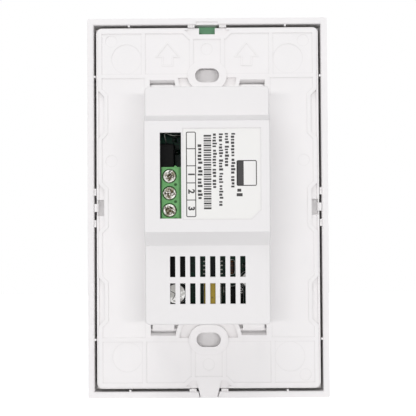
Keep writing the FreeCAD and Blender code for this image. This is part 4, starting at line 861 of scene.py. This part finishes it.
def label_bar(ink, left, right, top, bottom):
    """A filled rectangle on the label."""
    x1, z1 = on_label(left, top)
    x0, z0 = on_label(right, bottom)
    ink.bar(x0, x1, z0, z1)


def greeked_line(ink, left, height, top, bottom, chance):
    """Groups of plain blocks, which stand for a line of small print."""
    along = top
    while True:
        for _ in range(chance.randint(*GREEK_GROUP)):
            width = height * chance.uniform(*GREEK_WIDTHS)
            if along + width > bottom:
                return
            start = height * chance.choice(GREEK_STARTS)
            end = height * chance.choice(GREEK_ENDS)
            label_bar(ink, left + start, left + end, along, along + width)
            along += width + height * GREEK_SPACE
        along += height * GREEK_GROUP_SPACE


def filled(curve):
    """The mesh of a curve or a text."""
    holder = bpy.data.objects.new(curve.name, curve)
    bpy.context.scene.collection.objects.link(holder)
    bpy.context.view_layer.update()
    mesh = bpy.data.meshes.new_from_object(holder.evaluated_get(bpy.context.evaluated_depsgraph_get()))
    bpy.data.objects.remove(holder)
    return mesh


def plain_number(value, x, z, level):
    """A digit that reads from top to bottom on the label, as a mesh."""
    text = bpy.data.curves.new(f"number_{value}", "FONT")
    text.body = str(value)
    text.size = NUMBER_SIZE
    text.offset = NUMBER_WEIGHT
    text.align_x = "CENTER"
    text.align_y = "CENTER"
    text.extrude = INK_RISE
    mesh = filled(text)
    turn = Matrix(((0, -1, 0), (0, 0, 1), (-1, 0, 0))).to_4x4()
    mesh.transform(Matrix.Translation((x, level, z)) @ turn)
    return mesh


def add_label_print():
    """A ruled table with the numbers of the terminals, stripes, a blank field and greeked lines."""
    dark = printing_ink("label_ink", LABEL_INK)
    half = RULE_LINE / 2
    ink = Print(label_high.y)
    x1, z1 = on_label(TABLE_LEFT, TABLE_TOP)
    x0, z0 = on_label(TABLE_RIGHT, TABLE_BOTTOM)
    ink.frame(x0, x1, z0, z1, TABLE_CORNER, RULE_LINE)
    row = (TABLE_BOTTOM - TABLE_TOP) / TABLE_ROWS
    for i in range(1, TABLE_ROWS):
        at = TABLE_TOP + i * row
        label_bar(ink, TABLE_LEFT + half, TABLE_RIGHT - half, at - half, at + half)
    chance = random.Random(GREEK_SEED)
    for line in GREEKED_LINES:
        greeked_line(ink, *line, chance)
    at, count = STRIPES_TOP, 0
    while at < STRIPES_BOTTOM:
        width = STRIPE_WIDTHS[count % len(STRIPE_WIDTHS)]
        label_bar(ink, STRIPES_LEFT, STRIPES_RIGHT, at, at + width)
        at, count = at + width + STRIPE_SPACE, count + 1
    x1, z1 = on_label(FIELD_LEFT, FIELD_TOP)
    x0, z0 = on_label(FIELD_RIGHT, FIELD_BOTTOM)
    ink.frame(x0, x1, z0, z1, TABLE_CORNER, RULE_LINE)
    label_bar(ink, FIELD_LEFT + half, FIELD_LEFT + FIELD_STRIP, FIELD_TOP + half, FIELD_BOTTOM - half)
    ink.to_piece("label_print", "wall_unit", dark)
    column = (TABLE_LEFT + TABLE_RIGHT) / 2
    for value in POLES:
        x, z = on_label(column, TABLE_TOP + (BLANK_ROWS + value - 0.5) * row)
        number = plain_number(value, x, z, label_high.y)
        add_piece(f"label_number_{value}", number, "wall_unit", dark)


TURNED_STEPS = 24


def turned(name, profile, places, body, finish):
    """Rounds turned about lines along Y: a profile of (radius, height), set up at each place."""
    turns = [2 * math.pi * i / TURNED_STEPS for i in range(TURNED_STEPS)]
    shape = bmesh.new()
    for x, y, z in places:
        rows = []
        for radius, height in profile:
            around = [(radius * math.sin(turn), radius * math.cos(turn)) for turn in turns]
            if radius == 0:
                around = [(0, 0)]
            rows.append([shape.verts.new((x + out_x, y + height, z + out_z)) for out_x, out_z in around])
        for low, high in zip(rows, rows[1:]):
            for i in range(TURNED_STEPS):
                after = (i + 1) % TURNED_STEPS
                corners = [row[place % len(row)] for row, place in
                           ((low, i), (low, after), (high, after), (high, i))]
                shape.faces.new(list(dict.fromkeys(corners)))
    bmesh.ops.recalc_face_normals(shape, faces=shape.faces[:])
    mesh = bpy.data.meshes.new(name)
    shape.to_mesh(mesh)
    shape.free()
    mesh.shade_smooth()
    return add_piece(name, mesh, body, finish)


WIRE_ROUND_STEPS = 3
WIRE_BEND_STEPS = 6
WIRE_ORDER = 3


def bent_wire(name, points, thickness, body, finish):
    """A stiff lead bent along a few points."""
    path = bpy.data.curves.new(name + "_path", "CURVE")
    path.dimensions = "3D"
    path.bevel_depth = thickness / 2
    path.bevel_resolution = WIRE_ROUND_STEPS
    path.use_fill_caps = True
    spline = path.splines.new("NURBS")
    spline.points.add(len(points) - 1)
    for point, place in zip(spline.points, points):
        point.co = (*place, 1)
    spline.order_u = WIRE_ORDER
    spline.use_endpoint_u = True
    spline.resolution_u = WIRE_BEND_STEPS
    mesh = filled(path)
    mesh.name = name
    mesh.shade_smooth()
    return add_piece(name, mesh, body, finish)


board_face = Vector(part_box("power_board")[1]).y

# Solder bead on its pad, as (radius, height), and the places (x, z) of the beads, all in millimetres
BEAD = ((0, -0.03), (0.92, -0.03), (0.95, 0.0), (0.9, 0.05), (0.62, 0.14), (0.38, 0.42), (0.26, 0.72),
        (0.16, 0.9), (0, 0.94))
BEAD_PLACES = ((10.0, 20.7), (9.2, 16.9), (-11.4, -18.3), (7.4, 25.6), (3.4, 26.8), (14.2, -17.2),
               (-14.6, -30.6), (3.2, -9.6), (-2.4, -9.9), (12.6, -9.0))


def add_solder_beads():
    """Soldered pads on the open parts of the power board."""
    profile = [(r * MM, h * MM) for r, h in BEAD]
    places = [(x * MM, board_face, z * MM) for x, z in BEAD_PLACES]
    turned("solder_beads", profile, places, "wall_unit", solder())


LEAD_WIRE = 0.32 * MM

# Routes of the bare leads, in millimetres
FUSE_LEAD = ((12.4, 12.8, 18.9), (12.7, 13.6, 20.4), (13.2, 14.6, 22.4), (10.6, 14.9, 21.3),
             (8.4, 14.4, 21.6), (8.1, 11.0, 21.8), (8.1, 7.1, 21.8))
JUMPER = ((-4.8, 7.1, -24.2), (-4.8, 11.6, -24.3), (-4.75, 12.6, -24.8), (-4.8, 12.4, -26.9),
          (-4.75, 11.0, -27.4), (-4.75, 7.1, -27.4))


def add_bare_leads():
    """The fuse's lead and a bare jumper beside the film capacitor."""
    tin = bpy.data.materials["tinned_copper"]
    for name, route in (("fuse_lead", FUSE_LEAD), ("board_jumper", JUMPER)):
        points = [(x * MM, y * MM, z * MM) for x, y, z in route]
        bent_wire(name, points, LEAD_WIRE, "wall_unit", tin)


OUTLINE_LINE = 0.15 * MM
OUTLINE_MARGIN = 0.35 * MM
OUTLINED_BLOCKS = ("rectifier", "snubber_resistor", "film_capacitor", "power_transistor", "relay",
                   "transformer_core")
OUTLINED_CANS = ("large_electrolytic", "small_electrolytic")
MARK_X = -10.0 * MM
MARK_Z = -25.5 * MM
MARK_RADIUS = 0.55 * MM
MARK_LINE = 0.22 * MM
MARK_BAR_X = (-0.5 * MM, 0.9 * MM)
MARK_BAR_Z = (-1.1 * MM, -0.85 * MM)


def add_board_print():
    """White outlines round the parts on the power board, and a plain ring over a bar on the transistor."""
    white = printing_ink("board_ink", BOARD_INK)
    ink = Print(board_face)
    for name in OUTLINED_BLOCKS:
        low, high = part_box(name)
        ink.frame(low[0] - OUTLINE_MARGIN, high[0] + OUTLINE_MARGIN, low[2] - OUTLINE_MARGIN,
                  high[2] + OUTLINE_MARGIN, 2 * OUTLINE_MARGIN, OUTLINE_LINE)
    for name in OUTLINED_CANS:
        low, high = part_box(name)
        centre = middle(name)
        ink.ring(centre.x, centre.z, (high[0] - low[0]) / 2 + OUTLINE_MARGIN, OUTLINE_LINE)
    ink.to_piece("board_print", "wall_unit", white)
    mark = Print(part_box("power_transistor")[1][1])
    mark.ring(MARK_X, MARK_Z, MARK_RADIUS, MARK_LINE)
    mark.bar(*(MARK_X + end for end in MARK_BAR_X), *(MARK_Z + end for end in MARK_BAR_Z))
    mark.to_piece("transistor_mark", "wall_unit", white)


# Camera, fitted to the edges in the photograph: metres, radians and pixels; the sensor in millimetres
CAMERA_PLACE = Vector((-0.00293, 0.3797, -0.01183))
CAMERA_YAW = 0.00765
CAMERA_PITCH = 0.03048
CAMERA_ROLL = -0.00596
FOCAL_PIXELS = 1203
PICTURE_PIXELS = 416
SENSOR = 36.0


def add_camera():
    """Camera on the wall's side of the switch, a little below its middle."""
    data = bpy.data.cameras.new("camera")
    data.sensor_width = SENSOR
    data.lens = FOCAL_PIXELS / PICTURE_PIXELS * SENSOR
    camera = bpy.data.objects.new("camera", data)
    bpy.context.scene.collection.objects.link(camera)
    ahead = Vector((math.sin(CAMERA_YAW), -math.cos(CAMERA_YAW), math.tan(CAMERA_PITCH)))
    turn = ahead.to_track_quat("-Z", "Y").to_matrix() @ Matrix.Rotation(CAMERA_ROLL, 3, "Z")
    camera.matrix_world = Matrix.Translation(CAMERA_PLACE) @ turn.to_4x4()
    bpy.context.scene.camera = camera


def area_lamp(name, place, size, share, mirrored=True):
    """A lamp aimed at the switch, which gives a white face turned to it the given share of full white."""
    data = bpy.data.lights.new(name, "AREA")
    data.shape = "RECTANGLE"
    data.size, data.size_y = size
    data.energy = (math.pi * Vector(place).length) ** 2 * share
    data.color = LAMP_LIGHT
    lamp = bpy.data.objects.new(name, data)
    bpy.context.scene.collection.objects.link(lamp)
    lamp.visible_camera = False
    lamp.visible_glossy = mirrored
    lamp.location = place
    lamp.rotation_mode = "QUATERNION"
    lamp.rotation_quaternion = (-Vector(place)).to_track_quat("-Z", "Y")


# Light from all sides and the floor's glow are shares of full white; the reach is in metres
WORLD_SHARE = 0.39
FLOOR_REACH = 0.8
FLOOR_GLOW = 0.62


def add_world():
    """White where it is seen, and a dimmer, slightly cool light from all sides."""
    world = bpy.data.worlds.new("studio")
    bpy.context.scene.world = world
    world.use_nodes = True
    world.node_tree.nodes.clear()
    sky = Shading(world.node_tree)
    light = sky.node("ShaderNodeBackground", {}, {"Color": (*WORLD_LIGHT, 1), "Strength": WORLD_SHARE})
    backdrop = sky.node("ShaderNodeBackground", {}, {"Color": (1, 1, 1, 1), "Strength": 1.0})
    shown = sky.node("ShaderNodeMixShader", {}, [sky.seen(), light, backdrop])
    out = world.node_tree.nodes.new("ShaderNodeOutputWorld")
    world.node_tree.links.new(shown.socket, out.inputs["Surface"])


def add_floor():
    """Pale floor under the panel's lower edge, which keeps a soft shadow and glows only to the eye."""
    mesh = bpy.data.meshes.new("floor")
    level = cad_low[2]
    corners = [(-FLOOR_REACH, -FLOOR_REACH, level), (FLOOR_REACH, -FLOOR_REACH, level),
               (FLOOR_REACH, FLOOR_REACH, level), (-FLOOR_REACH, FLOOR_REACH, level)]
    mesh.from_pydata(corners, [], [(0, 1, 2, 3)])
    finish = Finish("floor", colour=FLOOR, Roughness=0.9, Specular_IOR_Level=0.0, Emission_Strength=1.0)
    finish.feed("Emission Color", finish.blend(finish.seen(), (0, 0, 0), (FLOOR_GLOW,) * 3))
    mesh.materials.append(finish.material)
    floor = bpy.data.objects.new("floor", mesh)
    bpy.context.scene.collection.objects.link(floor)


# Lamps: place, width and height, in metres, and share of full white
KEY_LAMP = ((0.08, 0.34, 0.48), (0.4, 0.4), 0.25)
BROAD_LAMP = ((-0.03, 1.9, 0.0), (1.8, 0.1), 0.47)
ROOM_SIDE_LAMP = ((-0.25, -0.95, 0.45), (1.2, 1.2), 0.5)


def add_lights():
    """A key lamp from above, a broad one behind the camera and one for the room side."""
    bpy.context.scene.view_settings.view_transform = "Standard"
    area_lamp("key", *KEY_LAMP)
    area_lamp("broad", *BROAD_LAMP, mirrored=False)
    area_lamp("room_side", *ROOM_SIDE_LAMP)


coat_nodes()
for moulding in SHELLS:
    soften(moulding, SHELL_ROUNDING)
for moulding in BLOCKS:
    soften(moulding, BLOCK_ROUNDING)
add_label_print()
add_solder_beads()
add_bare_leads()
add_board_print()
add_camera()
add_world()
add_floor()
add_lights()
